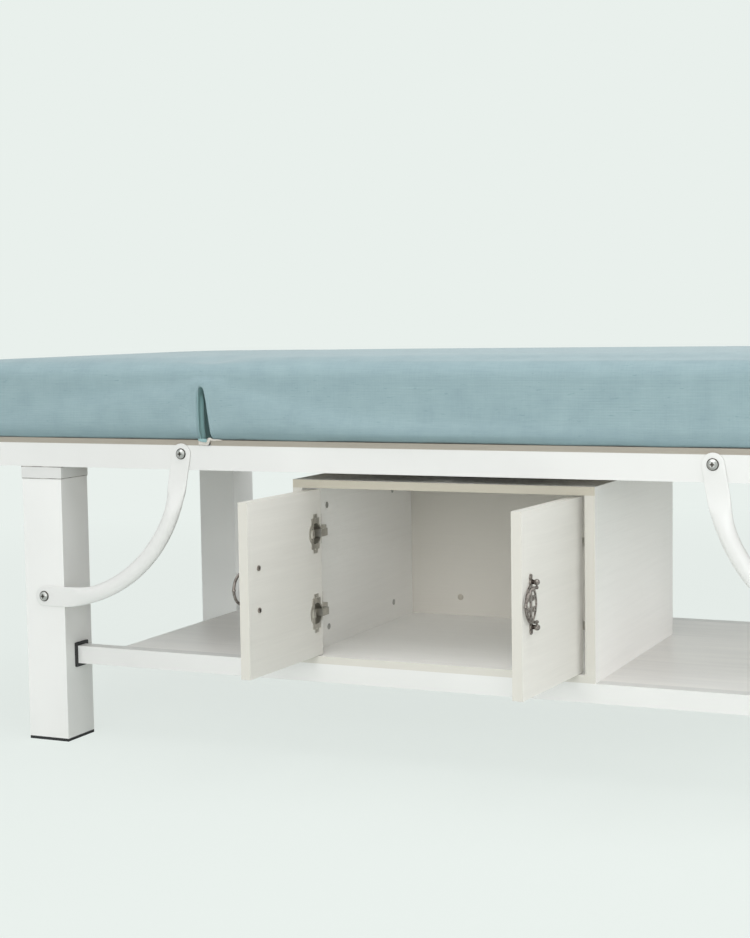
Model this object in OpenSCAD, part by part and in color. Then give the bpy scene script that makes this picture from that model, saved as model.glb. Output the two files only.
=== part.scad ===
// Folding treatment bed on a steel frame, with a lifting backrest, a low shelf and a cabinet.
// X runs along the bed, the cabinet doors face -Y, Z is up from the floor.

/* [Top frame] */
// Length of the welded top frame
frame_length = 1886; // [1760:2:2000]
// Width of the welded top frame
frame_width = 676; // [620:2:760]
// Height of the top frame's underside above the floor
frame_clear = 470; // [450:5:560]
// Height of the top frame tubes
rail_h = 40; // [38:1:50]
// Width of the top frame tubes
rail_w = 40; // [30:1:48]
// Wall of every steel tube
tube_wall = 1.5; // [1:0.1:2.5]
// Width of the cross members
cross_w = 40; // [30:1:50]
// Height of the two cross members under the backrest
low_cross_h = 20; // [16:1:21]

/* [Legs] */
// Distance from the ends of the frame to the outer faces of the legs
leg_inset = 193; // [143:1:253]
// Side of the square legs
leg_side = 78; // [70:1:90]
// Height of the collar between leg and frame
collar_h = 20; // [16:1:30]
// How far the collar stands proud of the leg
collar_lip = 1; // [0.5:0.1:2]
// Thickness of the plate on top of the collar
collar_plate_t = 4; // [3:0.5:6]
// Depth of the spigot inside the leg
spigot_h = 60; // [40:1:90]
// Clearance between the leg and what slides into it
leg_gap = 0.3; // [0.2:0.05:0.5]
// Thickness of the foot cap under the leg
foot_t = 5; // [4:0.5:10]
// Height of the foot cap's plug inside the leg
foot_plug_h = 20; // [12:1:30]
// Wall of the foot cap's plug
foot_plug_wall = 3; // [2:0.5:5]

/* [Corner braces] */
// Diameter of the bent brace tube
brace_d = 22; // [18:1:28]
// Distance between the brace's bolts along the bed
brace_run = 275; // [260:1:300]
// Distance between the brace's bolts in height
brace_rise = 247; // [235:1:260]
// Radius of the bend
brace_bend_r = 240; // [225:1:245]
// Angle turned by the bend
brace_bend_angle = 80; // [76:1:82]
// Width of the flattened ends
brace_flat_w = 34; // [28:1:38]
// Thickness of the flattened ends
brace_flat_t = 3; // [2:0.5:4]
// Length of the flattened ends past the bolt
brace_flat_l = 45; // [42:1:50]
// Length over which the tube goes from flat to round
brace_blend_l = 30; // [20:1:40]
// How far the upper bolt sits above the middle of the rail
brace_bolt_up = 6; // [0:1:8]
// Diameter of the drain hole in each brace
drain_d = 4; // [3:0.5:6]
// Diameter of the frame bolts
bolt_d = 8; // [6:1:10]
// Diameter of the frame bolt heads
bolt_head_d = 16; // [12:1:20]
// Height of the frame bolt heads
bolt_head_h = 4.5; // [3:0.5:6]

/* [Shelf] */
// Height of the shelf tubes
shelf_rail_h = 30; // [25:1:40]
// Depth of the shelf tubes
shelf_rail_d = 25; // [20:1:30]
// Height of the shelf's top above the floor
shelf_z = 160; // [130:1:220]
// Distance from the leg's face back to the shelf tube
shelf_set_back = 32; // [20:1:40]
// Length of the shelf tube inside each leg
shelf_insert = 10; // [6:1:20]
// Distance from the legs to the shelf board
shelf_board_gap = 82; // [22:2:150]
// Thickness of the shelf board
shelf_board_t = 12; // [9:0.5:18]
// Flange of the black grommet where the tube enters the leg
grommet_flange = 6; // [4:0.5:9]
// Wall of the grommet in the leg's cut-out
grommet_wall = 2; // [1.5:0.1:3]
// How far the grommet stands proud of the leg
grommet_proud = 3; // [2:0.5:5]

/* [Deck and backrest] */
// Thickness of the plywood deck
deck_t = 9; // [9:0.5:15]
// Distance from the middle of the bed to the backrest hinge
hinge_offset = 400; // [360:5:440]
// Height of the hinge pin below the deck's underside
hinge_drop = 6; // [6:0.5:7]
// Distance from the hinge pin to the backrest board
hinge_board_gap = 4; // [3:0.5:6]
// Distance from the hinge pin to the main board
hinge_main_gap = 18; // [17.5:0.5:24]
// Diameter of the hinge pins
hinge_pin_d = 6; // [5:0.5:7]
// Radius of the hinge knuckles
knuckle_r = 5.5; // [5:0.1:5.5]
// Width of each hinge leaf
leaf_w = 20; // [16:1:30]
// Length of each moving hinge leaf
leaf_l = 60; // [40:1:70]
// Thickness of hinge leaves, ears and straps
leaf_t = 3; // [2.5:0.5:3]
// Distance from the side rails to the middle of the hinges
hinge_inset = 63; // [50:1:75]
// Highest angle of the backrest
backrest_max = 60; // [45:1:65]

/* [Backrest prop] */
// Distance from the prop's bar to the head rail with the backrest down
prop_head_gap = 43; // [31:1:103]
// Distance between a hinge and the prop arm beside it
prop_inset = 85; // [80:1:115]
// Thickness of the prop arms
prop_arm_t = 5; // [4:0.5:6]
// Height of the prop arms
prop_arm_h = 10; // [9:0.5:10]
// Diameter of the prop's lower bar
prop_bar_d = 10; // [9:0.5:10]
// Distance from a prop arm to the rack beside it
rack_side_gap = 9; // [7:0.5:12]
// Thickness of the notched racks
rack_t = 6; // [4:0.5:8]
// Pitch of the rack's teeth
tooth_pitch = 16; // [14:1:24]
// Height of the rack's teeth
tooth_h = 4; // [3:0.5:5]
// Clearance between the prop's bar and the teeth
rack_gap = 0.4; // [0.3:0.1:0.8]

/* [Mattress] */
// Thickness of the mattress
pad_t = 131; // [110:1:150]
// How far the mattress stands over the frame at every side
pad_over = 7; // [4:1:12]
// Height of the crown in the middle of the mattress
pad_crown = 5; // [3:0.5:8]
// Radius of the mattress's corners seen from above
pad_corner_r = 28; // [22:1:40]
// Radius of the rounded top edge
pad_edge_r = 16; // [12:1:20]
// Radius of the rounded bottom edge
pad_foot_r = 5; // [4:0.5:8]
// How far the side walls are drawn in
pad_waist = 2.5; // [1.5:0.5:4]
// How far the long sides pull in between the corners
pad_pinch = 3; // [2:0.5:5]
// Thickness of the foam that stays whole above the notch
pad_skin_t = 47; // [40:1:60]
// Width of the notch at its foot
notch_w = 22; // [16:1:24]

/* [Cabinet] */
// Width of the cabinet
cabinet_w = 502; // [440:2:620]
// Depth of the cabinet
cabinet_d = 447; // [380:1:500]
// Height of the cabinet
cabinet_h = 296; // [260:1:300]
// Thickness of the side panels
side_t = 16; // [15:0.5:19]
// Thickness of the top panel
top_t = 13; // [12:0.5:18]
// Thickness of the floor panel
floor_t = 12; // [12:0.5:18]
// Thickness of the back panel
back_t = 5; // [3:0.5:9]
// Diameter of the panel connectors
cam_d = 10; // [8:1:14]
// Depth of the panel connectors
cam_depth = 10; // [8:0.5:12]
// Distance of the upper connectors from the top panel
cam_inset = 37; // [30:1:40]
// Distance of the lower connectors from the floor panel
cam_low_inset = 32; // [20:1:45]
// Distance of the connectors from the front and the back
cam_front = 90; // [70:1:110]
// How far the connectors stand proud
cam_proud = 0.6; // [0.4:0.1:1]

/* [Doors] */
// Thickness of the doors
door_t = 16; // [16:0.5:18]
// Gap between a door's hinged edge and the side panel
door_gap = 5.5; // [4:0.1:6.5]
// Gap under the doors
door_foot_gap = 1; // [0.8:0.1:3]
// Gap over the doors
door_head_gap = 3; // [1:0.5:5]
// Gap between the two doors
door_meet_gap = 4; // [2:0.5:6]
// Opening angle of the left door as it stands
left_open = 92.6; // [60:0.1:98]
// Opening angle of the right door as it stands
right_open = 86.1; // [60:0.1:98]

/* [Door hinges] */
// Distance between the two hinges of a door
cup_spacing = 128; // [110:1:140]
// Diameter of the hinge cup
cup_d = 35; // [35:0.5:36]
// Depth of the bore for the cup
cup_depth = 13; // [13:0.1:13.4]
// Wall of the cup
cup_wall = 0.8; // [0.6:0.1:0.9]
// Distance from the door's edge to the middle of the cup
cup_inset = 20.5; // [20.5:0.1:21.5]
// Height of the hinge flange
flange_h = 62; // [56:1:66]
// Width of the hinge flange
flange_w = 25; // [22:0.5:26]
// Thickness of the hinge flange
flange_t = 1.2; // [1:0.1:1.2]
// Width of the rim round the cup
cup_rim = 2; // [1.5:0.1:2.4]
// Distance from the pin to the closed side of the cup
bridge_from = 17; // [16.8:0.1:17.4]
// Height of the bridge over the closed side
bridge_h = 13; // [11:0.5:16]
// Rise of the bridge above the flange
bridge_t = 1.8; // [1:0.1:2.2]
// Diameter of the hinge's rivet pin
rivet_d = 2; // [1.8:0.1:2.2]
// Running clearance round pins
pin_gap = 0.05; // [0.03:0.01:0.1]
// Distance from the door's edge to the pin
rivet_inset = 9.5; // [9.3:0.1:9.8]
// Distance from the door's face to the pin
rivet_depth = 5.9; // [5.8:0.1:6]
// Radius of the eye round the pin
eye_r = 1.7; // [1.6:0.1:1.8]
// Height of the hinge arm
arm_h = 12; // [10:0.5:12]
// Thickness of the hinge arm
arm_t = 2.5; // [2:0.1:2.6]
// Reach of the arm along the door
arm_reach = 15; // [15:0.1:16]
// Rise of the arm behind the pin
arm_rise = 20; // [19.5:0.1:22]
// Length of the arm's base on the side panel
base_l = 44; // [36:1:55]
// Height of the wings of the base
base_h = 48; // [40:1:55]
// Thickness of the wings of the base
base_t = 3; // [2:0.5:4]
// Thickness of the base under the arm
riser_t = 9; // [7:0.5:10]

/* [Handles] */
// Distance between the handle's posts
handle_pitch = 64; // [60:1:80]
// Reach of the bow from its pins
bow_reach = 26; // [22:0.5:30]
// Thickness of the bow
bow_d = 4.5; // [3.5:0.5:5]
// Distance from the lying bow to the door's free edge
bow_edge_gap = 0.9; // [0.8:0.1:8]
// Height of the bow's pins above the door
post_h = 10; // [9:0.5:12]
// Diameter of the posts
post_d = 6.5; // [6:0.5:7.5]
// Diameter of the balls on the posts
post_ball_d = 9; // [8:0.5:10]
// Diameter of the bow's pins
bow_pin_d = 2.5; // [2:0.1:3]
// Thickness of the handle's plate
plate_t = 2; // [1.5:0.1:2.2]
// Width of the bar in the middle of the plate
plate_w = 5; // [4:0.5:7]
// Reach of the plate's curved rims
rim_reach = 20; // [18:0.5:21]
// Width of the plate's curved rims
rim_w = 2.6; // [2:0.1:3.5]
// Radius of the scrolls in the plate
scroll_r = 4; // [3.4:0.1:4.2]
// Width of the strands of the scrolls and end rings
scroll_w = 1.7; // [1.3:0.1:1.9]
// Turn of the left bow from straight out towards the door's free edge
left_bow_turn = 86; // [-104:1:104]
// Turn of the right bow from straight out towards the door's free edge
right_bow_turn = 103; // [-104:1:104]
// Diameter of the handle screws
screw_d = 4; // [3.5:0.5:5]
// Diameter of the handle screw heads
screw_head_d = 8; // [7:0.5:10]
// Height of the handle screw heads
screw_head_h = 2; // [1.5:0.5:3]

/* [Hidden] */
// Overrun of every cut
over = 1;
// Facets of round parts
round_fn = 48;
blend_fn = 32;

// Heights
deck_z = frame_clear + rail_h;
pad_z = deck_z + deck_t;
low_cross_top = frame_clear + low_cross_h;
collar_z = frame_clear - collar_h;
hinge_z = deck_z - hinge_drop;

// Places along and across the bed
leg_span = frame_length - 2*leg_inset;
leg_x = (leg_span - leg_side)/2;
leg_y = (frame_width - leg_side)/2;
front_y = -frame_width/2;
hinge_y = frame_width/2 - rail_w - hinge_inset;
prop_y = hinge_y - prop_inset;
cross_l = frame_width - 2*rail_w;
hinge_x = -hinge_offset;
back_board_x = hinge_x - hinge_board_gap;
main_board_x = hinge_x + hinge_main_gap;
deck_end_x = frame_length/2;

// Clearances that seat one piece on another
slide_gap = 0.3;
hole_gap = 0.4;
side_gap = 0.5;

// Braces
brace_low_z = deck_z - rail_h/2 + brace_bolt_up - brace_rise;
brace_top_run = (brace_rise - brace_bend_r*(1 - cos(brace_bend_angle)))/sin(brace_bend_angle);
brace_low_run = brace_run - brace_bend_r*sin(brace_bend_angle) - brace_top_run*cos(brace_bend_angle);
brace_sink = 1.5;
brace_trim = 1;
brace_top_x = -leg_x + brace_run;
slice_t = 0.2;
bolt_rim_share = 1/3;
bolt_crown_share = 0.55;
bolt_socket_share = 0.34;
bolt_shank = brace_flat_t + tube_wall + brace_flat_t;

// Shelf
shelf_rail_z = shelf_z - shelf_rail_h;
shelf_rail_y = front_y + shelf_set_back;
shelf_inner_y = -shelf_rail_y - shelf_rail_d;
shelf_board_l = leg_span - 2*leg_side - 2*shelf_board_gap;
shelf_rail_l = leg_span - 2*leg_side + 2*tube_wall + 2*shelf_insert;
shelf_cross_h = shelf_rail_h - shelf_board_t;
shelf_cross_n = 4;
shelf_clip_h = shelf_board_t;

// Cabinet
cabinet_y = shelf_rail_y;
cabinet_top = shelf_z + cabinet_h;
cabinet_in_w = cabinet_w - 2*side_t;
door_low = shelf_z + floor_t + door_foot_gap;
door_high = cabinet_top - top_t - door_head_gap;
door_h = door_high - door_low;
door_w = (cabinet_in_w - 2*door_gap - door_meet_gap)/2;
door_mid_z = (door_low + door_high)/2;
rivet_x = cabinet_in_w/2 - door_gap - rivet_inset;
rivet_y = cabinet_y + rivet_depth;
cup_bore_d = cup_d + 2*pin_gap;
rivet_l = 2*sqrt(pow(cup_d/2 - cup_wall, 2) - pow(cup_inset - rivet_inset + rivet_d/2, 2)) - hole_gap;

// Backrest
// From the hinge to the prop's pivot, and from the pivot to the prop's bar
prop_arm_l = (frame_length/2 - rail_w - hinge_offset - prop_head_gap)/2;
prop_pivot_x = hinge_x - prop_arm_l;
prop_bar_x = hinge_x - 2*prop_arm_l;
rack_y = prop_y + rack_side_gap + prop_arm_t/2;
rack_h = hinge_z - prop_bar_d/2 - rack_gap - low_cross_top;
rack_from = -frame_length/2 + rail_w;
rack_to = hinge_x + cross_w/2;
teeth_from = prop_bar_x - prop_bar_d;
teeth_to = hinge_x - 2*prop_arm_l*cos(backrest_max) + prop_bar_d;
prop_bar_l = 2*(rack_y + rack_t);
bracket_x = 2*knuckle_r + leaf_t;
rib_w = 20;
rib_y = hinge_y;
rib_from = -frame_length/2 + rail_w + leaf_t;
rib_to = hinge_x - leaf_l - 2*hinge_board_gap;
rib_h = rail_h - low_cross_h - side_gap;

// Mattress
pad_l = frame_length + 2*pad_over;
pad_w = frame_width + 2*pad_over;
// The blocks lean away from the hinge, and the bend between them gives when the backrest lifts
bend_back_foot = 12;
bend_main_foot = 28;
bend_back_top = 115;
bend_main_top = 115;
bend_gap = 0.3;
notch_offset = 2;
notch_foot_x = hinge_x - notch_offset;
notch_lean_share = 0.35;
pad_corner_n = 5;
pad_long_n = 12;
pad_short_n = 4;

// Rounded rectangle as an exact outline
module round_square(w, h, r) {
    square([w - 2*r, h], center = true);
    square([w, h - 2*r], center = true);
    for (sx = [-1, 1], sy = [-1, 1])
        translate([sx*(w/2 - r), sy*(h/2 - r)]) circle(r = r, $fn = round_fn);
}

// Tube along X with both ends mitred, outer face towards -Y
module mitred_tube(len, w, h) {
    difference() {
        linear_extrude(h)
            polygon([[-len/2, 0], [len/2, 0], [len/2 - w, w], [-len/2 + w, w]]);
        translate([-len/2 - over, tube_wall, tube_wall])
            cube([len + 2*over, w - 2*tube_wall, h - 2*tube_wall]);
    }
}

// Straight tube along X, with its middle at the origin
module tube_x(len, w, h) {
    difference() {
        cube([len, w, h], center = true);
        cube([len + 2*over, w - 2*tube_wall, h - 2*tube_wall], center = true);
    }
}

// Cylinder along Y that starts at y = 0 and runs towards +Y
module rod_y(d, len) {
    rotate([-90, 0, 0]) cylinder(d = d, h = len, $fn = round_fn);
}

module mirror_copy(v) {
    children();
    mirror(v) children();
}

// Top frame
module side_rail() {
    difference() {
        translate([0, front_y, frame_clear]) mitred_tube(frame_length, rail_w, rail_h);
        for (s = [-1, 1])
            translate([s*brace_top_x, front_y - over, brace_low_z + brace_rise])
                rod_y(bolt_d + hole_gap, tube_wall + 2*over);
    }
}

module rail_front() { color("white") side_rail(); }
module rail_back() { color("white") rotate([0, 0, 180]) side_rail(); }

module end_rail() {
    translate([-frame_length/2, 0, frame_clear])
        rotate([0, 0, -90]) mitred_tube(frame_width, rail_w, rail_h);
}

module rail_head() { color("white") end_rail(); }
module rail_foot() { color("white") rotate([0, 0, 180]) end_rail(); }

module cross_member(x, h) {
    translate([x, 0, frame_clear + h/2]) rotate([0, 0, 90]) tube_x(cross_l, cross_w, h);
}

module cross_hinge() { color("white") cross_member(hinge_x, low_cross_h); }
module cross_head() { color("white") cross_member(-leg_x, low_cross_h); }

deck_cross_n = 4;
deck_cross_from = hinge_x + cross_w;
module cross_members() {
    color("white")
        for (i = [0:deck_cross_n - 1])
            cross_member(deck_cross_from + (leg_x - deck_cross_from)*i/(deck_cross_n - 1), rail_h);
}

// Legs, each modelled at the front left and mirrored to its corner
module at_corner(sx, sy) {
    mirror([sx > 0 ? 1 : 0, 0, 0]) mirror([0, sy > 0 ? 1 : 0, 0]) children();
}

module corner_leg() {
    cut_h = shelf_rail_h + 2*grommet_wall + 2*slide_gap;
    cut_d = shelf_rail_d + 2*grommet_wall + 2*slide_gap;
    difference() {
        translate([-leg_x, -leg_y, foot_t]) linear_extrude(collar_z - foot_t) difference() {
            square(leg_side, center = true);
            square(leg_side - 2*tube_wall, center = true);
        }
        translate([-leg_x + leg_side/2 - tube_wall - over, shelf_rail_y + shelf_rail_d/2 - cut_d/2,
                   shelf_rail_z + shelf_rail_h/2 - cut_h/2])
            cube([tube_wall + 2*over, cut_d, cut_h]);
        translate([-leg_x, front_y - over, brace_low_z]) rod_y(bolt_d + hole_gap, tube_wall + 2*over);
        translate([-leg_x - leg_side/2 - over, -leg_y, leg_bolt_z])
            rotate([0, 90, 0]) cylinder(d = bolt_d + hole_gap, h = tube_wall + 2*over, $fn = round_fn);
    }
}

leg_bolt_z = collar_z - spigot_h/2;
spigot_side = leg_side - 2*tube_wall - 2*leg_gap;
spigot_wall = 2;

module corner_collar() {
    outer = leg_side + 2*collar_lip;
    difference() {
        union() {
            translate([-leg_x, -leg_y, collar_z]) linear_extrude(collar_h) square(outer, center = true);
            translate([-leg_x, -leg_y, collar_z - spigot_h])
                linear_extrude(spigot_h + over) square(spigot_side, center = true);
        }
        translate([-leg_x, -leg_y, collar_z - spigot_h - over])
            linear_extrude(spigot_h + collar_h - collar_plate_t + over)
                square(spigot_side - 2*spigot_wall, center = true);
        translate([-leg_x - leg_side/2, -leg_y, leg_bolt_z])
            rotate([0, 90, 0]) cylinder(d = bolt_d + hole_gap, h = leg_side/2, $fn = round_fn);
    }
}

module corner_foot() {
    plug = leg_side - 2*tube_wall - 2*leg_gap;
    translate([-leg_x, -leg_y, 0]) {
        linear_extrude(foot_t) square(leg_side, center = true);
        linear_extrude(foot_t + foot_plug_h) difference() {
            square(plug, center = true);
            square(plug - 2*foot_plug_wall, center = true);
        }
    }
}

module leg_front_left() { color("white") at_corner(-1, -1) corner_leg(); }
module leg_front_right() { color("white") at_corner(1, -1) corner_leg(); }
module leg_back_left() { color("white") at_corner(-1, 1) corner_leg(); }
module leg_back_right() { color("white") at_corner(1, 1) corner_leg(); }

module leg_collars() {
    color("gainsboro") for (sx = [-1, 1], sy = [-1, 1]) at_corner(sx, sy) corner_collar();
}

module foot_front_left() { color("black") at_corner(-1, -1) corner_foot(); }
module foot_front_right() { color("black") at_corner(1, -1) corner_foot(); }
module foot_back_left() { color("black") at_corner(-1, 1) corner_foot(); }
module foot_back_right() { color("black") at_corner(1, 1) corner_foot(); }

// Bolt along +Y with its domed head towards -Y, seated with the head's underside at y = 0
module frame_bolt(shank) {
    rod_y(bolt_d, shank);
    rim_h = bolt_head_h*bolt_rim_share;
    translate([0, -rim_h, 0]) rod_y(bolt_head_d, rim_h);
    difference() {
        translate([0, -rim_h, 0]) rotate([90, 0, 0])
            cylinder(d1 = bolt_head_d, d2 = bolt_head_d*bolt_crown_share, h = bolt_head_h - rim_h, $fn = round_fn);
        translate([0, -bolt_head_h - over, 0]) rotate([-90, 0, 0])
            cylinder(d = bolt_head_d*bolt_socket_share, h = bolt_head_h/2 + over, $fn = 6);
    }
}

module leg_bolts() {
    color("silver") for (sx = [-1, 1], sy = [-1, 1]) at_corner(sx, sy)
        translate([-leg_x - leg_side/2, -leg_y, leg_bolt_z]) rotate([0, 0, -90])
            frame_bolt(tube_wall + leg_gap + spigot_wall + leg_gap);
}

// Brace: flattened ends, blended into a round tube that bends between them
module brace_flat() {
    difference() {
        union() {
            rod_y(brace_flat_w, brace_flat_t);
            translate([0, 0, -brace_flat_w/2]) cube([brace_flat_l, brace_flat_t, brace_flat_w]);
        }
        translate([0, -over, 0]) rod_y(bolt_d + hole_gap, brace_flat_t + 2*over);
    }
}

// Flattened end and the cone that leads from it into the round tube, along +X from the bolt
module brace_end(run) {
    turn = brace_turn(run);
    reach = [run + brace_bend_r*sin(turn) - brace_flat_l, brace_bend_r*(1 - cos(turn))];
    cone_l = norm(reach) + 2*brace_sink;
    half_flat = brace_flat_t/2;
    brace_flat();
    translate([brace_flat_l, half_flat, 0]) rotate([0, -atan2(reach[1], reach[0]), 0])
        translate([-brace_sink, 0, 0]) intersection() {
            rotate([0, 90, 0])
                cylinder(d1 = brace_flat_w - brace_trim, d2 = brace_d - slice_t, h = cone_l, $fn = round_fn);
            translate([0, 0, -brace_flat_w/2]) linear_extrude(brace_flat_w)
                polygon([[0, slice_t - half_flat], [0, half_flat - slice_t],
                         [cone_l, brace_d/2 + slice_t], [cone_l, -brace_d/2 - slice_t]]);
        }
}

function brace_turn(run) = (brace_flat_l + brace_blend_l - run)/brace_bend_r*180/PI;

module corner_brace() {
    from_turn = brace_turn(brace_low_run);
    to_turn = brace_bend_angle - brace_turn(brace_top_run);
    mid_turn = brace_bend_angle/2;
    translate([-leg_x, front_y - brace_flat_t, brace_low_z]) difference() {
        union() {
            brace_end(brace_low_run);
            translate([brace_run, 0, brace_rise]) rotate([0, 180 - brace_bend_angle, 0])
                mirror([0, 0, 1]) brace_end(brace_top_run);
            translate([brace_low_run, brace_flat_t/2, brace_bend_r]) rotate([90, 0, 0])
                rotate([0, 0, from_turn - 90])
                    rotate_extrude(angle = to_turn - from_turn, $fn = 4*round_fn)
                        translate([brace_bend_r, 0]) difference() {
                            circle(d = brace_d, $fn = round_fn);
                            circle(d = brace_d - 2*tube_wall, $fn = round_fn);
                        }
        }
        translate([brace_low_run + brace_bend_r*sin(mid_turn), brace_flat_t/2,
                   brace_bend_r*(1 - cos(mid_turn))])
            rod_y(drain_d, brace_d);
    }
}

module brace_front_left() { color("white") at_corner(-1, -1) corner_brace(); }
module brace_front_right() { color("white") at_corner(1, -1) corner_brace(); }
module brace_back_left() { color("white") at_corner(-1, 1) corner_brace(); }
module brace_back_right() { color("white") at_corner(1, 1) corner_brace(); }

module brace_bolts() {
    color("silver") for (sx = [-1, 1], sy = [-1, 1]) at_corner(sx, sy)
        for (p = [[0, 0], [brace_run, brace_rise]])
            translate([-leg_x + p[0], front_y - brace_flat_t, brace_low_z + p[1]]) frame_bolt(bolt_shank);
}

// Shelf
module shelf_rail() {
    translate([0, shelf_rail_y + shelf_rail_d/2, shelf_rail_z + shelf_rail_h/2])
        tube_x(shelf_rail_l, shelf_rail_d, shelf_rail_h);
}

module shelf_rail_front() { color("white") shelf_rail(); }
module shelf_rail_back() { color("white") rotate([0, 0, 180]) shelf_rail(); }

module corner_grommet() {
    hole = [shelf_rail_d + 2*slide_gap, shelf_rail_h + 2*slide_gap];
    sleeve = hole + [2*grommet_wall - slide_gap, 2*grommet_wall - slide_gap];
    flange = [shelf_rail_d + 2*grommet_flange, shelf_rail_h + 2*grommet_flange];
    translate([-leg_x + leg_side/2, shelf_rail_y + shelf_rail_d/2, shelf_rail_z + shelf_rail_h/2])
        rotate([90, 0, 90]) {
            linear_extrude(grommet_proud) difference() {
                round_square(flange[0], flange[1], grommet_wall);
                square(hole, center = true);
            }
            translate([0, 0, -tube_wall - grommet_proud])
                linear_extrude(tube_wall + grommet_proud + over) difference() {
                    square(sleeve, center = true);
                    square(hole, center = true);
                }
        }
}

module shelf_grommets() {
    color("black") for (sx = [-1, 1], sy = [-1, 1]) at_corner(sx, sy) corner_grommet();
}

module shelf_cross_bars() {
    reach = shelf_board_l/2 - shelf_rail_d/2;
    color("white") for (i = [0:shelf_cross_n - 1])
        translate([-reach + 2*reach*i/(shelf_cross_n - 1), 0, shelf_rail_z + shelf_cross_h/2])
            rotate([0, 0, 90]) tube_x(2*shelf_inner_y, shelf_rail_d, shelf_cross_h);
}

module shelf_board() {
    color("gainsboro") translate([-shelf_board_l/2, -shelf_inner_y, shelf_z - shelf_board_t])
        cube([shelf_board_l, 2*shelf_inner_y, shelf_board_t]);
}

// Deck boards
module deck_board(x0, x1) {
    translate([x0, front_y, deck_z]) cube([x1 - x0, frame_width, deck_t]);
}

module deck_main() { color("burlywood") deck_board(main_board_x, deck_end_x); }
module deck_back() { color("burlywood") deck_board(-deck_end_x, back_board_x); }

module backrest_ribs() {
    color("burlywood") mirror_copy([0, 1, 0])
        translate([rib_from, rib_y - rib_w/2, deck_z - rib_h]) cube([rib_to - rib_from, rib_w, rib_h]);
}

// Backrest hinges, a knuckle between two ears
module hinge_knuckle(r, d, w) {
    difference() {
        translate([0, -w/2, 0]) rod_y(2*r, w);
        translate([0, -w/2 - over, 0]) rod_y(d, w + 2*over);
    }
}

module backrest_leaves() {
    bore = hinge_pin_d + 2*pin_gap;
    color("silver") mirror_copy([0, 1, 0]) translate([hinge_x, hinge_y, hinge_z]) difference() {
        union() {
            translate([0, -leaf_w/2, 0]) rod_y(2*knuckle_r, leaf_w);
            translate([-hinge_board_gap - leaf_l, -leaf_w/2, hinge_drop - leaf_t])
                cube([leaf_l + hinge_board_gap, leaf_w, leaf_t]);
        }
        translate([0, -leaf_w/2 - over, 0]) rod_y(bore, leaf_w + 2*over);
        translate([hinge_pin_d/2, -leaf_w/2 - over, hinge_drop - leaf_t])
            cube([hinge_board_gap, leaf_w + 2*over, leaf_t + over]);
    }
}

module hinge_ears() {
    ear_h = hinge_z - low_cross_top;
    color("silver") mirror_copy([0, 1, 0]) translate([hinge_x, hinge_y, hinge_z]) {
        translate([-cross_w/2, -leaf_w/2 - side_gap - leaf_t, -ear_h])
            cube([cross_w, leaf_w + 2*side_gap + 2*leaf_t, leaf_t]);
        for (s = [-1, 1]) translate([0, s*(leaf_w/2 + side_gap + leaf_t/2), 0]) difference() {
            union() {
                translate([0, -leaf_t/2, 0]) rod_y(2*knuckle_r, leaf_t);
                translate([-knuckle_r, -leaf_t/2, -ear_h]) cube([2*knuckle_r, leaf_t, ear_h]);
            }
            translate([0, -leaf_t/2 - over, 0]) rod_y(hinge_pin_d, leaf_t + 2*over);
        }
    }
}

module hinge_pins() {
    pin_l = leaf_w + 2*side_gap + 2*leaf_t;
    color("dimgray") mirror_copy([0, 1, 0])
        translate([hinge_x, hinge_y - pin_l/2, hinge_z]) rod_y(hinge_pin_d, pin_l);
}

// Prop under the backrest: brackets on the board, two arms and a bar that runs over the racks
module prop_brackets() {
    inner = prop_arm_t/2 + side_gap;
    color("silver") mirror_copy([0, 1, 0]) translate([prop_pivot_x, prop_y, hinge_z]) {
        translate([-bracket_x, -inner - leaf_t, hinge_drop - bracket_plate_t])
            cube([2*bracket_x, 2*inner + 2*leaf_t, bracket_plate_t]);
        for (s = [-1, 1]) translate([0, s*(inner + leaf_t/2), 0]) difference() {
            union() {
                translate([0, -leaf_t/2, 0]) rod_y(2*knuckle_r, leaf_t);
                translate([-knuckle_r, -leaf_t/2, 0]) cube([2*knuckle_r, leaf_t, hinge_drop]);
            }
            translate([0, -leaf_t/2 - over, 0]) rod_y(hinge_pin_d, leaf_t + 2*over);
        }
    }
}

bracket_plate_t = hinge_drop - prop_arm_h/2 - side_gap;

module prop_pins() {
    pin_l = prop_arm_t + 2*side_gap + 2*leaf_t;
    color("dimgray") mirror_copy([0, 1, 0])
        translate([prop_pivot_x, prop_y - pin_l/2, hinge_z]) rod_y(hinge_pin_d, pin_l);
}

module prop_arms() {
    color("silver") mirror_copy([0, 1, 0]) translate([prop_pivot_x, prop_y - prop_arm_t/2, hinge_z])
        difference() {
            union() {
                rod_y(prop_arm_h, prop_arm_t);
                translate([-prop_arm_l, 0, 0]) rod_y(prop_arm_h, prop_arm_t);
                translate([-prop_arm_l, 0, -prop_arm_h/2]) cube([prop_arm_l, prop_arm_t, prop_arm_h]);
            }
            translate([0, -over, 0]) rod_y(hinge_pin_d + 2*pin_gap, prop_arm_t + 2*over);
            translate([-prop_arm_l, -over, 0]) rod_y(prop_bar_neck_d, prop_arm_t + 2*over);
        }
}

prop_bar_neck_share = 0.7;
prop_bar_neck_d = prop_bar_d*prop_bar_neck_share;

module prop_bar() {
    neck_from = prop_y - prop_arm_t/2;
    color("silver") translate([prop_bar_x, -prop_bar_l/2, hinge_z]) {
        rod_y(prop_bar_neck_d, prop_bar_l);
        rod_y(prop_bar_d, prop_bar_l/2 - neck_from - prop_arm_t);
        translate([0, prop_bar_l/2 - neck_from, 0]) rod_y(prop_bar_d, 2*neck_from);
        translate([0, prop_bar_l/2 + neck_from + prop_arm_t, 0])
            rod_y(prop_bar_d, prop_bar_l/2 - neck_from - prop_arm_t);
    }
}

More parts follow.
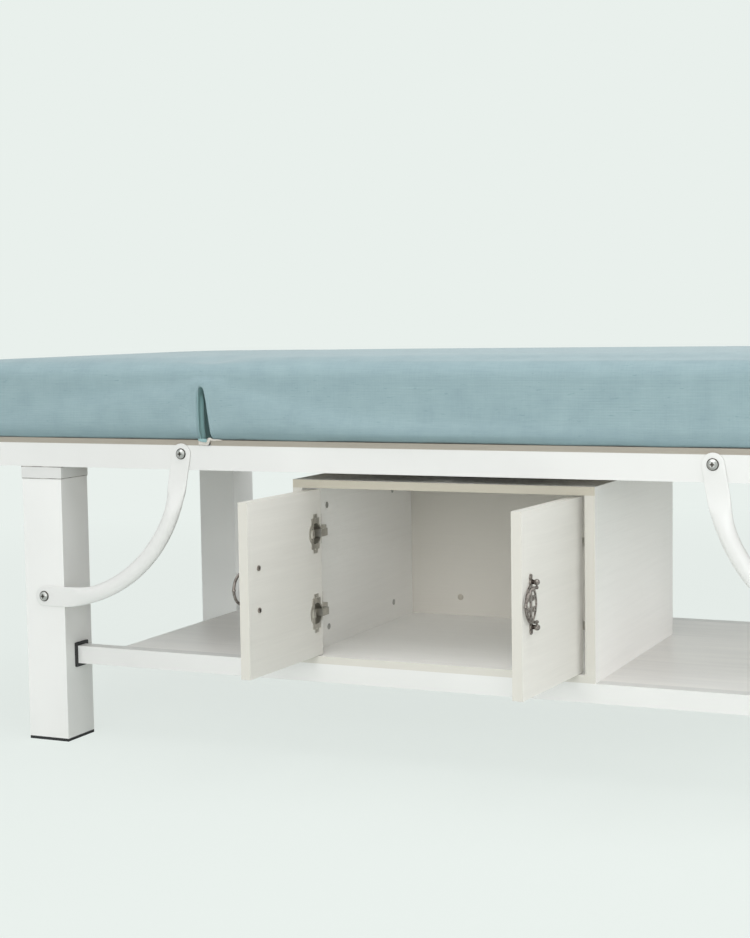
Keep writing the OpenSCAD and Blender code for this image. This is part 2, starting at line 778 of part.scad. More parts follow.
// Rack with a plain base and teeth that lean towards the head end
tooth_shares = [0.55, 0.8];
module prop_racks() {
    tooth = min(tooth_h, rack_h/2);
    n = floor((teeth_to - teeth_from)/tooth_pitch);
    profile = concat([[rack_from, 0], [rack_to, 0], [rack_to, rack_h - tooth],
                      [teeth_from + n*tooth_pitch, rack_h - tooth]],
                     [for (i = [n - 1:-1:0]) each [
                         [teeth_from + (i + tooth_shares[1])*tooth_pitch, rack_h],
                         [teeth_from + (i + tooth_shares[0])*tooth_pitch, rack_h],
                         [teeth_from + i*tooth_pitch, rack_h - tooth]]],
                     [[rack_from, rack_h - tooth]]);
    color("silver") mirror_copy([0, 1, 0]) translate([0, rack_y + rack_t, low_cross_top])
        rotate([90, 0, 0]) linear_extrude(rack_t) polygon(profile);
}

// Mattress: rings of a rounded rectangle, drawn in at the waist and crowned on top
function pad_arc(cx, cy, r, from) =
    [for (i = [0:pad_corner_n]) let (a = from + 90*i/pad_corner_n) [cx + r*cos(a), cy + r*sin(a)]];

function pad_ring(inset, pinch) =
    let (hl = pad_l/2 - inset, hw = pad_w/2 - inset, r = max(pad_corner_r - inset, pad_foot_r),
         sx = hl - r, sy = hw - r)
    concat(
        pad_arc(sx, sy, r, 0),
        [for (i = [1:pad_long_n - 1]) let (t = i/pad_long_n) [sx - 2*sx*t, hw - pinch*sin(180*t)]],
        pad_arc(-sx, sy, r, 90),
        [for (i = [1:pad_short_n - 1]) let (t = i/pad_short_n) [-hl + pinch/2*sin(180*t), sy - 2*sy*t]],
        pad_arc(-sx, -sy, r, 180),
        [for (i = [1:pad_long_n - 1]) let (t = i/pad_long_n) [-sx + 2*sx*t, -hw + pinch*sin(180*t)]],
        pad_arc(sx, -sy, r, 270),
        [for (i = [1:pad_short_n - 1]) let (t = i/pad_short_n) [hl - pinch/2*sin(180*t), -sy + 2*sy*t]]);

pad_side_t = pad_t - pad_crown;
pad_top_steps = 4;
pad_crown_steps = 3;
// Each level is height, inset and pinch
pad_levels = concat(
    [for (a = [0, 45, 90]) [pad_foot_r*(1 - cos(a)), pad_foot_r*(1 - sin(a)), pad_pinch*sin(a)]],
    [for (i = [1:4]) let (t = i/5) [pad_foot_r + (pad_side_t - pad_foot_r - pad_edge_r)*t,
                                    pad_waist*sin(180*t), pad_pinch]],
    [for (i = [0:pad_top_steps]) let (a = 90*i/pad_top_steps)
        [pad_side_t - pad_edge_r*(1 - sin(a)), pad_edge_r*(1 - cos(a)), pad_pinch*cos(a)]],
    [for (i = [1:pad_crown_steps]) let (t = i/pad_crown_steps)
        [pad_side_t + pad_crown*sin(90*t), pad_edge_r + (pad_w/2 - 3*pad_edge_r)*t, 0]]);

module pad_whole() {
    rings = [for (l = pad_levels) [for (p = pad_ring(l[1], l[2])) [p[0], p[1], l[0]]]];
    n = len(rings[0]);
    m = len(rings);
    faces = concat(
        [[for (i = [0:n - 1]) i]],
        [for (k = [0:m - 2], i = [0:n - 1]) let (j = (i + 1)%n) [k*n + i, (k + 1)*n + i, (k + 1)*n + j]],
        [for (k = [0:m - 2], i = [0:n - 1]) let (j = (i + 1)%n) [k*n + i, (k + 1)*n + j, k*n + j]],
        [[for (i = [n - 1:-1:0]) (m - 1)*n + i]]);
    translate([0, 0, pad_z]) polyhedron([for (ring = rings, p = ring) p], faces);
}

// Prism across the whole bed, drawn in the plane of its side view
module side_prism(points) {
    translate([0, pad_w/2 + over, pad_z]) rotate([90, 0, 0])
        linear_extrude(pad_w + 2*over) polygon(points);
}

back_face = [[hinge_x - bend_back_foot, 0], [hinge_x - bend_back_top, pad_t]];
main_face = [[hinge_x + bend_main_foot, 0], [hinge_x + bend_main_top, pad_t]];
pad_far = pad_l/2 + over;

module pad_back() {
    color("cadetblue") intersection() {
        pad_whole();
        side_prism([[-pad_far, -over], back_face[0] - [0, over], back_face[0], back_face[1],
                    back_face[1] + [0, over], [-pad_far, pad_t + over]]);
    }
}

module pad_main() {
    color("cadetblue") intersection() {
        pad_whole();
        side_prism([[pad_far, -over], [pad_far, pad_t + over], main_face[1] + [0, over],
                    main_face[1], main_face[0], main_face[0] - [0, over]]);
    }
}

module pad_bend() {
    g = [bend_gap, 0];
    apex = pad_t - pad_skin_t;
    color("teal") intersection() {
        pad_whole();
        side_prism([back_face[0] + g, [notch_foot_x, 0],
                    [notch_foot_x + notch_w*notch_lean_share/2, apex],
                    [notch_foot_x + notch_w, 0], main_face[0] - g, main_face[1] - g,
                    main_face[1] - g + [0, over], back_face[1] + g + [0, over], back_face[1] + g]);
    }
}

// Cabinet
module cabinet_side() {
    translate([-cabinet_w/2, cabinet_y, shelf_z]) difference() {
        cube([side_t, cabinet_d, cabinet_h - top_t]);
        for (p = cam_places) translate([side_t - cam_depth, p[0], p[1]])
            rotate([0, 90, 0]) cylinder(d = cam_d + hole_gap, h = cam_depth + over, $fn = round_fn);
    }
}

cam_places = [for (y = [cam_front, cabinet_d - cam_front], z = [floor_t + cam_low_inset, cabinet_h - top_t - cam_inset])
    [y, z]];

module cabinet_side_left() { color("linen") cabinet_side(); }
module cabinet_side_right() { color("linen") mirror([1, 0, 0]) cabinet_side(); }

module cabinet_top() {
    color("linen") translate([-cabinet_w/2, cabinet_y, cabinet_top - top_t])
        cube([cabinet_w, cabinet_d, top_t]);
}

module cabinet_floor() {
    color("linen") translate([-cabinet_in_w/2, cabinet_y, shelf_z])
        cube([cabinet_in_w, cabinet_d - back_t, floor_t]);
}

module cabinet_back() {
    color("linen") translate([-cabinet_in_w/2, cabinet_y + cabinet_d - back_t, shelf_z])
        cube([cabinet_in_w, back_t, cabinet_h - top_t]);
}

module cabinet_cams() {
    color("silver") mirror_copy([1, 0, 0])
        for (p = cam_places) translate([-cabinet_w/2 + side_t - cam_depth, cabinet_y + p[0], shelf_z + p[1]])
            rotate([0, 90, 0]) cylinder(d = cam_d, h = cam_depth + cam_proud, $fn = round_fn);
}

// Doors. Each is modelled closed on the left, from its pin at the origin, and turned open
module open_left() {
    translate([-rivet_x, rivet_y, 0]) rotate([0, 0, -left_open]) children();
}

module open_right() {
    translate([rivet_x, rivet_y, 0]) rotate([0, 0, right_open]) mirror([1, 0, 0]) children();
}

module at_cups() {
    for (s = [-1, 1]) translate([0, 0, door_mid_z + s*cup_spacing/2]) children();
}

cup_x = cup_inset - rivet_inset;
inner_y = door_t - rivet_depth;
handle_inset = bow_reach + bow_d/2 + bow_edge_gap;
handle_x = door_w - rivet_inset - handle_inset;

module door_leaf() {
    difference() {
        translate([-rivet_inset, -rivet_depth, door_low]) cube([door_w, door_t, door_h]);
        at_cups() translate([cup_x, inner_y - cup_depth, 0]) rod_y(cup_bore_d, cup_depth + over);
        for (s = [-1, 1]) translate([handle_x, -rivet_depth - over, door_mid_z + s*handle_pitch/2])
            rod_y(screw_d + hole_gap, door_t + 2*over);
    }
}

module door_left() { color("ivory") open_left() door_leaf(); }
module door_right() { color("ivory") open_right() door_leaf(); }

module cup_set() {
    hollow_x = bridge_from - cup_x;
    at_cups() translate([cup_x, inner_y, 0]) difference() {
        union() {
            translate([0, -cup_depth + pin_gap, 0]) rod_y(cup_d, cup_depth - pin_gap + flange_t);
            rod_y(cup_d + 2*cup_rim, flange_t);
            translate([-flange_w/2, 0, -flange_h/2 + flange_w/4])
                cube([flange_w, flange_t, flange_h - flange_w/2]);
            for (s = [-1, 1]) translate([0, 0, s*(flange_h/2 - flange_w/4)])
                translate([-flange_w/4, 0, -flange_w/4]) cube([flange_w/2, flange_t, flange_w/2]);
            translate([hollow_x, 0, -bridge_h/2])
                cube([flange_w/2 - hollow_x, flange_t + bridge_t, bridge_h]);
        }
        intersection() {
            translate([0, -cup_depth + pin_gap + cup_wall, 0]) rod_y(cup_d - 2*cup_wall, cup_depth + flange_t);
            translate([hollow_x - cup_d, -cup_depth, -cup_d/2]) cube([cup_d, 2*cup_depth, cup_d]);
        }
        for (s = [-1, 1]) translate([0, -over, s*(flange_h/2 - flange_w/4)])
            rod_y(screw_d, flange_t + 2*over);
    }
}

module hinge_cups_left() { color("silver") open_left() cup_set(); }
module hinge_cups_right() { color("silver") open_right() cup_set(); }

module rivet_set() {
    at_cups() translate([0, 0, -rivet_l/2]) cylinder(d = rivet_d, h = rivet_l, $fn = round_fn);
}

module hinge_rivets_left() { color("dimgray") open_left() rivet_set(); }
module hinge_rivets_right() { color("dimgray") open_right() rivet_set(); }

// Arm that reaches from the side panel round the door's edge into the cup
module arm_set() {
    panel_x = -rivet_inset - door_gap;
    riser_x = panel_x + riser_t;
    wing_y = arm_rise + base_l/3;
    wing_l = base_l/2;
    at_cups() difference() {
        union() {
            translate([0, 0, -arm_h/2]) cylinder(r = eye_r, h = arm_h, $fn = round_fn);
            translate([0, -arm_t/2, -arm_h/2]) cube([arm_reach + arm_t/2, arm_t, arm_h]);
            translate([arm_reach - arm_t/2, -arm_t/2, -arm_h/2]) cube([arm_t, arm_rise + arm_t, arm_h]);
            translate([panel_x, arm_rise - arm_t/2, -arm_h/2])
                cube([arm_reach + arm_t/2 - panel_x, arm_t, arm_h]);
            translate([panel_x, arm_rise - arm_t/2, -arm_h/2]) cube([riser_x - panel_x, base_l, arm_h]);
            translate([panel_x, wing_y, -base_h/2]) cube([base_t, wing_l, base_h]);
        }
        translate([0, 0, -arm_h/2 - over])
            cylinder(d = rivet_d + 2*pin_gap, h = arm_h + 2*over, $fn = round_fn);
        for (s = [-1, 1]) translate([panel_x - over, wing_y + wing_l/2, s*(base_h + arm_h)/4])
            rotate([0, 90, 0]) cylinder(d = screw_d, h = base_t + 2*over, $fn = round_fn);
    }
}

module hinge_arms_left() { color("silver") translate([-rivet_x, rivet_y, 0]) arm_set(); }
module hinge_arms_right() {
    color("silver") translate([rivet_x, rivet_y, 0]) mirror([1, 0, 0]) arm_set();
}

// Handle: an openwork plate with two posts, and a bow that swings on pins in the posts
handle_half = handle_pitch/2;
bow_ball_r = bow_d/2 + hole_gap;
bow_half = handle_half - post_ball_d/2 - side_gap - bow_ball_r;
bow_bead_share = 1.3;
ring_z = handle_half + post_ball_d/2 + scroll_r - scroll_w;
scroll_rise = 2*scroll_r;

module at_handle() {
    translate([handle_x, -rivet_depth, door_mid_z]) children();
}

// Curved rim from the upper post to the lower one, on the +X side
rim_half = handle_half - post_d/2;
rim_r = (rim_half*rim_half + rim_reach*rim_reach)/(2*rim_reach);
module plate_rim() {
    intersection() {
        translate([rim_reach - rim_r, 0]) difference() {
            circle(r = rim_r, $fn = 2*round_fn);
            circle(r = rim_r - rim_w, $fn = 2*round_fn);
        }
        translate([0, -rim_half]) square([rim_reach + over, 2*rim_half]);
    }
}

// The outer scroll fills the room between the inner one and the rim
inner_scroll_x = plate_w/2 + scroll_r - slide_gap;
scroll_from = inner_scroll_x + scroll_r - slide_gap;
scroll_to = sqrt(pow(rim_r - rim_w, 2) - pow(scroll_rise, 2)) - rim_r + rim_reach + slide_gap;

module scroll(r) {
    difference() {
        circle(r = r, $fn = round_fn);
        circle(r = r - scroll_w, $fn = round_fn);
    }
}

module handle_plate() {
    rotate([90, 0, 0]) linear_extrude(plate_t) {
        square([plate_w, handle_pitch], center = true);
        mirror_copy([1, 0, 0]) {
            plate_rim();
            for (s = [-1, 1]) {
                translate([inner_scroll_x, s*scroll_rise]) scroll(scroll_r);
                translate([(scroll_from + scroll_to)/2, s*scroll_rise]) scroll((scroll_to - scroll_from)/2);
            }
        }
        for (s = [-1, 1]) translate([0, s*ring_z]) scroll(scroll_r + slide_gap);
    }
}

module handle_post() {
    difference() {
        union() {
            translate([0, -post_h, 0]) rod_y(post_d, post_h);
            translate([0, -plate_t - plate_t/2, 0]) rod_y(post_ball_d, plate_t + plate_t/2);
            translate([0, -post_h, 0]) sphere(d = post_ball_d, $fn = round_fn);
        }
        translate([0, -post_h, -post_ball_d])
            cylinder(d = bow_pin_d + 2*pin_gap, h = post_ball_d + bow_pin_d/2 + hole_gap, $fn = round_fn);
    }
}

module handle_screw() {
    translate([0, -plate_t, 0]) rod_y(screw_d, door_t + plate_t);
    translate([0, door_t, 0]) difference() {
        rod_y(screw_head_d, screw_head_h);
        for (a = [0, 90]) rotate([0, a, 0]) translate([-screw_d/2, screw_head_h/2, -screw_d/10])
            cube([screw_d, screw_head_h, screw_d/5]);
    }
}

module handle_mount() {
    at_handle() {
        handle_plate();
        mirror_copy([0, 0, 1]) translate([0, 0, handle_half]) {
            handle_post();
            handle_screw();
        }
    }
}

// Bow, drawn straight out of the door and turned on its pins
module handle_bow(turn) {
    r = (bow_half*bow_half + bow_reach*bow_reach)/(2*bow_reach);
    half_angle = atan2(bow_half, r - bow_reach);
    at_handle() translate([0, -post_h, 0]) rotate([0, 0, turn]) {
        translate([0, r - bow_reach, 0]) rotate([0, 90, 0]) rotate([0, 0, -90 - half_angle])
            rotate_extrude(angle = 2*half_angle, $fn = 2*round_fn)
                translate([r, 0]) circle(d = bow_d, $fn = blend_fn);
        translate([0, -bow_reach, 0]) sphere(d = bow_d*bow_bead_share, $fn = blend_fn);
        mirror_copy([0, 0, 1]) {
            translate([0, 0, bow_half]) sphere(r = bow_ball_r, $fn = blend_fn);
            translate([0, 0, bow_half])
                cylinder(d = bow_pin_d, h = handle_half - bow_half + bow_pin_d/2, $fn = round_fn);
        }
    }
}

module handle_left() { color("rosybrown") open_left() handle_bow(left_bow_turn); }
module handle_right() { color("rosybrown") open_right() handle_bow(right_bow_turn); }
module handle_screws_left() { color("dimgray") open_left() handle_mount(); }
module handle_screws_right() { color("dimgray") open_right() handle_mount(); }

rail_front();
rail_back();
rail_head();
rail_foot();
cross_hinge();
cross_head();
cross_members();
leg_front_left();
leg_front_right();
leg_back_left();
leg_back_right();
leg_collars();
leg_bolts();
foot_front_left();
foot_front_right();
foot_back_left();
foot_back_right();
brace_front_left();
brace_front_right();
brace_back_left();
brace_back_right();
brace_bolts();
shelf_rail_front();
shelf_rail_back();
shelf_grommets();
shelf_cross_bars();
shelf_board();
deck_main();
deck_back();
backrest_ribs();
backrest_leaves();
hinge_ears();
hinge_pins();
prop_brackets();
prop_pins();
prop_arms();
prop_bar();
prop_racks();
pad_main();
pad_bend();
pad_back();
cabinet_side_left();
cabinet_side_right();
cabinet_top();
cabinet_floor();
cabinet_back();
cabinet_cams();
door_left();
door_right();
hinge_cups_left();
hinge_cups_right();
hinge_rivets_left();
hinge_rivets_right();
hinge_arms_left();
hinge_arms_right();
handle_left();
handle_right();
handle_screws_left();
handle_screws_right();
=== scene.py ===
"""Looks for the folding massage table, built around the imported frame. Metres, X along the bed, Z up."""
import math

import bmesh
import bpy
import numpy as np
from mathutils import Matrix, Vector, noise

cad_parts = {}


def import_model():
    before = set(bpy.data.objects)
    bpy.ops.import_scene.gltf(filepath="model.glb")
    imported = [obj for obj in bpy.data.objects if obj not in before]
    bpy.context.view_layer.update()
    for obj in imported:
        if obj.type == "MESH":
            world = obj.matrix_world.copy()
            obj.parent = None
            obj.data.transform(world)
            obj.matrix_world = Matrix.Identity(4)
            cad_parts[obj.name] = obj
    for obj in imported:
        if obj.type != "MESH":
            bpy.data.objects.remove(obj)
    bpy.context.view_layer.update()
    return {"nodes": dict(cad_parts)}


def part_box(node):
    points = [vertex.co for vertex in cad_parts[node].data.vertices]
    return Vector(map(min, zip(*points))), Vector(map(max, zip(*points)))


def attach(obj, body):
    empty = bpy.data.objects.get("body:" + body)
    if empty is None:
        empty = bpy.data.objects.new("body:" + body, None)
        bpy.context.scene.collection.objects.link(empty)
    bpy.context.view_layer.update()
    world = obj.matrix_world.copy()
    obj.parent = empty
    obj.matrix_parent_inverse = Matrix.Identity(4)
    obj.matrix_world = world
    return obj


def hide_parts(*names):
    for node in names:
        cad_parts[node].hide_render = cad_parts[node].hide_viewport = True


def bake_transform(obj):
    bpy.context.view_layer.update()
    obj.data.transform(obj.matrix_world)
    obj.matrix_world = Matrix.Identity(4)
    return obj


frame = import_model()
scene = bpy.context.scene
cad = frame["nodes"]


# Materials

# Noise gathers about its middle, so this range spreads it over 0 to 1
NOISE_LOW, NOISE_HIGH = 0.35, 0.65
# A mix node's two colour inputs and its colour output
MIX_A, MIX_B, MIX_OUT = 6, 7, 2


class Shader:
    """A material with a Principled shader and short calls for the nodes that feed it."""

    def __init__(self, name, colour, rough, metal=0.0, **sockets):
        self.mat = bpy.data.materials.new(name)
        self.mat.use_nodes = True
        self.tree = self.mat.node_tree
        self.bsdf = self.tree.nodes["Principled BSDF"]
        self.bsdf.inputs["Base Color"].default_value = (*colour, 1)
        self.bsdf.inputs["Roughness"].default_value = rough
        self.bsdf.inputs["Metallic"].default_value = metal
        for socket, value in sockets.items():
            self.bsdf.inputs[socket.replace("_", " ")].default_value = value
        self.height = None

    def node(self, kind, props=None, **inputs):
        n = self.tree.nodes.new(kind)
        for k, v in (props or {}).items():
            setattr(n, k, v)
        for k, v in inputs.items():
            self.feed(n.inputs[k.replace("_", " ")], v)
        return n

    def feed(self, socket, value):
        if isinstance(value, bpy.types.NodeSocket):
            self.tree.links.new(value, socket)
        else:
            socket.default_value = value

    def place(self, scale):
        """Object coordinates, stretched by scale."""
        at = self.node("ShaderNodeTexCoord")
        return self.node("ShaderNodeMapping", Vector=at.outputs["Object"], Scale=scale).outputs[0]

    def noise(self, scale, detail=3.0, stretch=(1, 1, 1), distortion=0.0, rough=0.55):
        n = self.node("ShaderNodeTexNoise", Vector=self.place(stretch), Scale=scale, Detail=detail,
                      Roughness=rough, Distortion=distortion)
        return n.outputs["Fac"]

    def math(self, op, a, b=0.0, clamp=False):
        n = self.node("ShaderNodeMath", {"operation": op, "use_clamp": clamp})
        self.feed(n.inputs[0], a)
        self.feed(n.inputs[1], b)
        return n.outputs[0]

    def blend(self, a, b, share):
        """share of a and the rest of b."""
        return self.math("ADD", self.math("MULTIPLY", a, share), self.math("MULTIPLY", b, 1 - share))

    def spread(self, value, low=NOISE_LOW, high=NOISE_HIGH, to_low=0.0, to_high=1.0):
        """Maps low..high to to_low..to_high, held at the ends."""
        n = self.node("ShaderNodeMapRange", Value=value)
        for k, v in (("From Min", low), ("From Max", high), ("To Min", to_low), ("To Max", to_high)):
            n.inputs[k].default_value = v
        return n.outputs[0]

    def mix(self, factor, a, b):
        n = self.node("ShaderNodeMix", {"data_type": "RGBA"})
        self.feed(n.inputs[0], factor)
        for i, colour in ((MIX_A, a), (MIX_B, b)):
            self.feed(n.inputs[i], colour if isinstance(colour, bpy.types.NodeSocket) else (*colour, 1))
        return n.outputs[MIX_OUT]

    def colour(self, socket):
        self.feed(self.bsdf.inputs["Base Color"], socket)

    def rough(self, socket):
        self.feed(self.bsdf.inputs["Roughness"], socket)

    def bump(self, height, depth, strength=1.0):
        """Adds a height field, depth in metres."""
        n = self.node("ShaderNodeBump", Height=height, Strength=strength, Distance=depth)
        if self.height is not None:
            self.feed(n.inputs["Normal"], self.height)
        self.height = n.outputs[0]
        self.feed(self.bsdf.inputs["Normal"], self.height)


def scaled(colour, k):
    return tuple(min(1.0, c*k) for c in colour)


def srgb(*values):
    return tuple(((v/255 + 0.055)/1.055)**2.4 if v > 10 else v/255/12.92 for v in values)


def white_paint(name, grey):
    """Powder coat with a fine orange peel."""
    s = Shader(name, srgb(grey, grey, grey - 2), 0.42)
    s.colour(s.mix(s.spread(s.noise(5, 2), 0.3, 0.7), srgb(grey - 3, grey - 3, grey - 5),
                   srgb(grey + 3, grey + 3, grey + 1)))
    s.rough(s.spread(s.noise(40, 3), 0.3, 0.7, 0.36, 0.48))
    s.bump(s.noise(700, 2), 0.00008, 0.5)
    return s.mat


def linen():
    """Grey-blue linen weave with slubs along the bed, with painted shade that darkens the sides towards the deck and
    a greener painted shade tint inside the notch.
    """
    s = Shader("linen_grey_blue", srgb(140, 164, 168), 0.88, Sheen_Weight=0.22, Sheen_Roughness=0.4)
    s.bsdf.inputs["Sheen Tint"].default_value = (1, 1, 0.98, 1)
    s.bsdf.inputs["Specular IOR Level"].default_value = 0.15
    along = s.noise(1, 4, (22, 700, 700), 0.2, 0.65)
    across = s.noise(1, 4, (700, 26, 26), 0.2, 0.65)
    blotch = s.noise(26, 4)
    thread = s.blend(along, across, 0.6)
    tone = s.blend(thread, blotch, 0.6)
    cloth = s.mix(s.spread(tone, 0.36, 0.64), srgb(136, 158, 164), srgb(150, 172, 176))
    slub = s.math("MULTIPLY", s.spread(s.noise(1, 2, (60, 420, 420), 0.3), 0.66, 0.74), 0.55)
    # Painted shade: inside the notch the cloth takes a greener tint for the shade there
    inside = s.node("ShaderNodeAttribute", {"attribute_name": "inside"}).outputs["Fac"]
    foot_shade = s.node("ShaderNodeAttribute", {"attribute_name": "foot_shade"}).outputs["Fac"]
    flecked = s.mix(slub, cloth, srgb(116, 143, 148))
    # Painted shade: the cloth turns darker towards the deck along the foot of the sides
    wear_and_shade = s.mix(s.math("MULTIPLY", foot_shade, 0.75), flecked, srgb(112, 134, 139))
    s.colour(s.mix(inside, wear_and_shade, srgb(142, 176, 176)))
    warp, weft = (s.node("ShaderNodeTexWave", {"bands_direction": bands, "wave_profile": "SIN"},
                         Vector=s.place(stretch), Scale=scale, Distortion=0.6, Detail=1.0, Detail_Scale=2.0)
                  for bands, stretch, scale in (("X", (1, 1, 1), 210.0), ("DIAGONAL", (0, 1, 1), 150.0)))
    weave = s.math("MULTIPLY", warp.outputs["Fac"], weft.outputs["Fac"])
    s.bump(weave, 0.0004, 0.3)
    s.bump(thread, 0.0005, 0.25)
    return s.mat


BOARD = (250, 249, 246)
LEAF = (228, 225, 219)
BAND = (208, 205, 197)
# Painted shade: the top's front band is darker than the other bands, for the shade of the bed above it
SHADED_TOP_BAND = (192, 186, 171)


def melamine(name, stretch, edge, base, depth=0.00012, band=BAND):
    """White board with a faint embossed grain along the short sides of stretch. edge picks the banded faces."""
    s = Shader(name, srgb(*base), 0.5)
    grain = s.noise(1, 5, stretch, 0.8, 0.6)
    broad = s.noise(1, 2, tuple(v*0.35 for v in stretch), 0.5)
    tone = s.blend(grain, broad, 0.6)
    face = s.mix(s.spread(tone), srgb(*(v - 3 for v in base)), srgb(*(v + 2 for v in base)))
    at = s.node("ShaderNodeTexCoord")
    axes = s.node("ShaderNodeSeparateXYZ", Vector=at.outputs["Normal"])
    s.colour(s.mix(edge(s, axes.outputs), face, srgb(*band)))
    s.rough(s.spread(tone, to_low=0.42, to_high=0.54))
    s.bump(s.spread(grain, 0.42, 0.6), depth, 0.6)
    return s.mat


def front_edge(s, n):
    """The faces that look towards the bed's front side."""
    return s.math("LESS_THAN", n[1], -0.7)


def leaf_edge(s, n):
    """All faces of an open door but its two broad ones."""
    return s.math("LESS_THAN", s.math("ABSOLUTE", n[0]), 0.6)


def laminate():
    s = Shader("shelf_laminate", srgb(236, 234, 231), 0.33)
    figure = s.noise(1, 4, (4, 60, 60), 0.6)
    s.colour(s.mix(s.spread(figure), srgb(232, 230, 228), srgb(239, 237, 234)))
    s.bump(s.noise(1, 4, (10, 240, 240), 0.8), 0.00015, 0.5)
    return s.mat


def plywood():
    s = Shader("plywood_edge", srgb(160, 154, 143), 0.7)
    ply = s.node("ShaderNodeTexWave", {"bands_direction": "Z", "wave_profile": "TRI"},
                 Vector=s.place((1, 1, 1)), Scale=160.0, Distortion=0.4, Detail=2.0, Detail_Scale=0.6)
    grain = s.noise(1, 4, (20, 20, 300), 0.4)
    tone = s.blend(ply.outputs["Fac"], grain, 0.5)
    s.colour(s.mix(tone, srgb(149, 142, 130), srgb(172, 166, 155)))
    s.bump(grain, 0.0002, 0.5)
    return s.mat


def timber():
    s = Shader("planed_softwood", srgb(196, 168, 128), 0.65)
    rings = s.noise(1, 5, (8, 90, 120), 1.2)
    s.colour(s.mix(s.spread(rings), srgb(176, 146, 104), srgb(208, 182, 142)))
    s.bump(rings, 0.0002, 0.5)
    return s.mat


def metal(name, colour, rough):
    """Plated metal with fine streaks."""
    s = Shader(name, colour, rough, 1.0)
    lines = s.noise(1, 3, (90, 90, 900))
    s.rough(s.spread(lines, 0.3, 0.7, rough*0.75, min(1, rough*1.3)))
    tone = s.spread(s.noise(60, 4))
    s.colour(s.mix(tone, scaled(colour, 0.86), scaled(colour, 1.06)))
    s.bump(lines, 0.00004, 0.4)
    return s.mat


def pewter(name, shade):
    """Dark cast metal, rubbed bright where it stands out."""
    s = Shader(name, srgb(112, 102, 96), 0.34, 0.9)
    geo = s.node("ShaderNodeNewGeometry")
    raised = s.spread(geo.outputs["Pointiness"], 0.46, 0.56)
    wear_and_shade = s.math("MULTIPLY", raised, s.spread(s.noise(260, 4), 0.3, 0.6), clamp=True)
    s.colour(s.mix(wear_and_shade, scaled(srgb(66, 57, 53), shade), scaled(srgb(190, 182, 176), shade)))
    s.rough(s.spread(wear_and_shade, 0, 1, 0.5, 0.22))
    s.bump(s.noise(520, 3), 0.00012, 0.6)
    return s.mat


def black(name, rough, scale):
    s = Shader(name, srgb(26, 26, 28), rough)
    s.colour(s.mix(s.spread(s.noise(scale*0.3, 3)), srgb(20, 20, 22), srgb(36, 36, 38)))
    s.bump(s.noise(scale, 3), 0.0002, 0.5)
    return s.mat


def paint(mat, *names):
    """Gives CAD nodes a material through their object's slots."""
    for name in names:
        for slot in cad[name].material_slots:
            slot.link = "OBJECT"
            slot.material = mat


WHITE = white_paint("powder_coat_white", 231)
# Painted shade: the same white powder coat, made darker on the rails and brace tubes to tone down how brightly the
# lamps light them
SHADED_RAIL_WHITE = white_paint("powder_coat_rail_painted_shade", 223)
# Painted shade: the same powder coat, made darker on the collars for the shadow under the rail
SHADED_COLLAR_WHITE = white_paint("powder_coat_collar_painted_shade", 214)
LINEN = linen()
ZINC = metal("zinc_plate", srgb(186, 186, 184), 0.34)
NICKEL = metal("nickel_plate", srgb(206, 203, 196), 0.38)
PEWTER = pewter("antique_pewter", 1.0)
PEWTER_FINE = pewter("pewter_plate", 0.9)
BOARD_UPRIGHT = melamine("melamine_upright", (7, 7, 210), front_edge, BOARD)
BOARD_FLAT = melamine("melamine_flat", (7, 170, 170), front_edge, BOARD)
# The top board's front band carries painted shade
BOARD_TOP = melamine("melamine_top_painted_shade", (7, 170, 170), front_edge, BOARD, band=SHADED_TOP_BAND)
BOARD_DOOR = melamine("melamine_door", (7, 7, 210), leaf_edge, LEAF, 0.00006)

CORNERS = ("front_left", "front_right", "back_left", "back_right")
paint(WHITE, "cross_hinge", "cross_head", "cross_members", "shelf_cross_bars",
      *("leg_" + c for c in CORNERS), *("brace_" + c for c in CORNERS))
# The rails take the darker powder coat of painted shade
paint(SHADED_RAIL_WHITE, "rail_front", "rail_back", "rail_head", "rail_foot",
      "shelf_rail_front", "shelf_rail_back")
# The collars take the darker powder coat of painted shade
paint(SHADED_COLLAR_WHITE, "leg_collars")
paint(black("foot_rubber", 0.75, 500), *("foot_" + c for c in CORNERS))
paint(black("grommet_plastic", 0.5, 700), "shelf_grommets")
paint(ZINC, "leg_bolts", "brace_bolts", "backrest_leaves", "hinge_ears", "hinge_pins", "prop_brackets",
      "prop_pins", "prop_arms", "prop_bar", "prop_racks", "cabinet_cams")
paint(laminate(), "shelf_board")
paint(plywood(), "deck_main", "deck_back")
paint(timber(), "backrest_ribs")
paint(BOARD_UPRIGHT, "cabinet_side_left", "cabinet_side_right", "cabinet_back")
paint(BOARD_FLAT, "cabinet_floor")
paint(BOARD_TOP, "cabinet_top")
paint(BOARD_DOOR, "door_left", "door_right")
paint(NICKEL, "hinge_cups_left", "hinge_cups_right", "hinge_rivets_left", "hinge_rivets_right",
      "hinge_arms_left", "hinge_arms_right")
paint(PEWTER, "handle_left", "handle_right")
paint(PEWTER_FINE, "handle_screws_left", "handle_screws_right")


# Mattress

low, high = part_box("pad_main")
HALF_L = high.x
HALF_W = high.y
PAD_Z = low.z
PAD_T = 0.126
# Rise of the top's middle, and how far the sides pull in at half height
CROWN = 0.005
WAIST = 0.0025
# Radii in plan, along the top edge and along the foot
PLAN_R = 0.030
TOP_R = 0.027
FOOT_R = 0.014
# Share of the height from which the crown grows
CROWN_FROM = 0.6
# Height over the deck, and the notch's left and right edge there
NOTCH_SIDES = ((0.0, -0.3990, -0.3765), (0.015, -0.4013, -0.3793), (0.033, -0.4024, -0.3824),
               (0.047, -0.4026, -0.3848), (0.060, -0.4026, -0.3865), (0.074, -0.4024, -0.3890))
NOTCH_FOOT = NOTCH_SIDES[0][1:]
NOTCH_TOP = NOTCH_SIDES[-1][0]
NOTCH_COLUMNS = 7
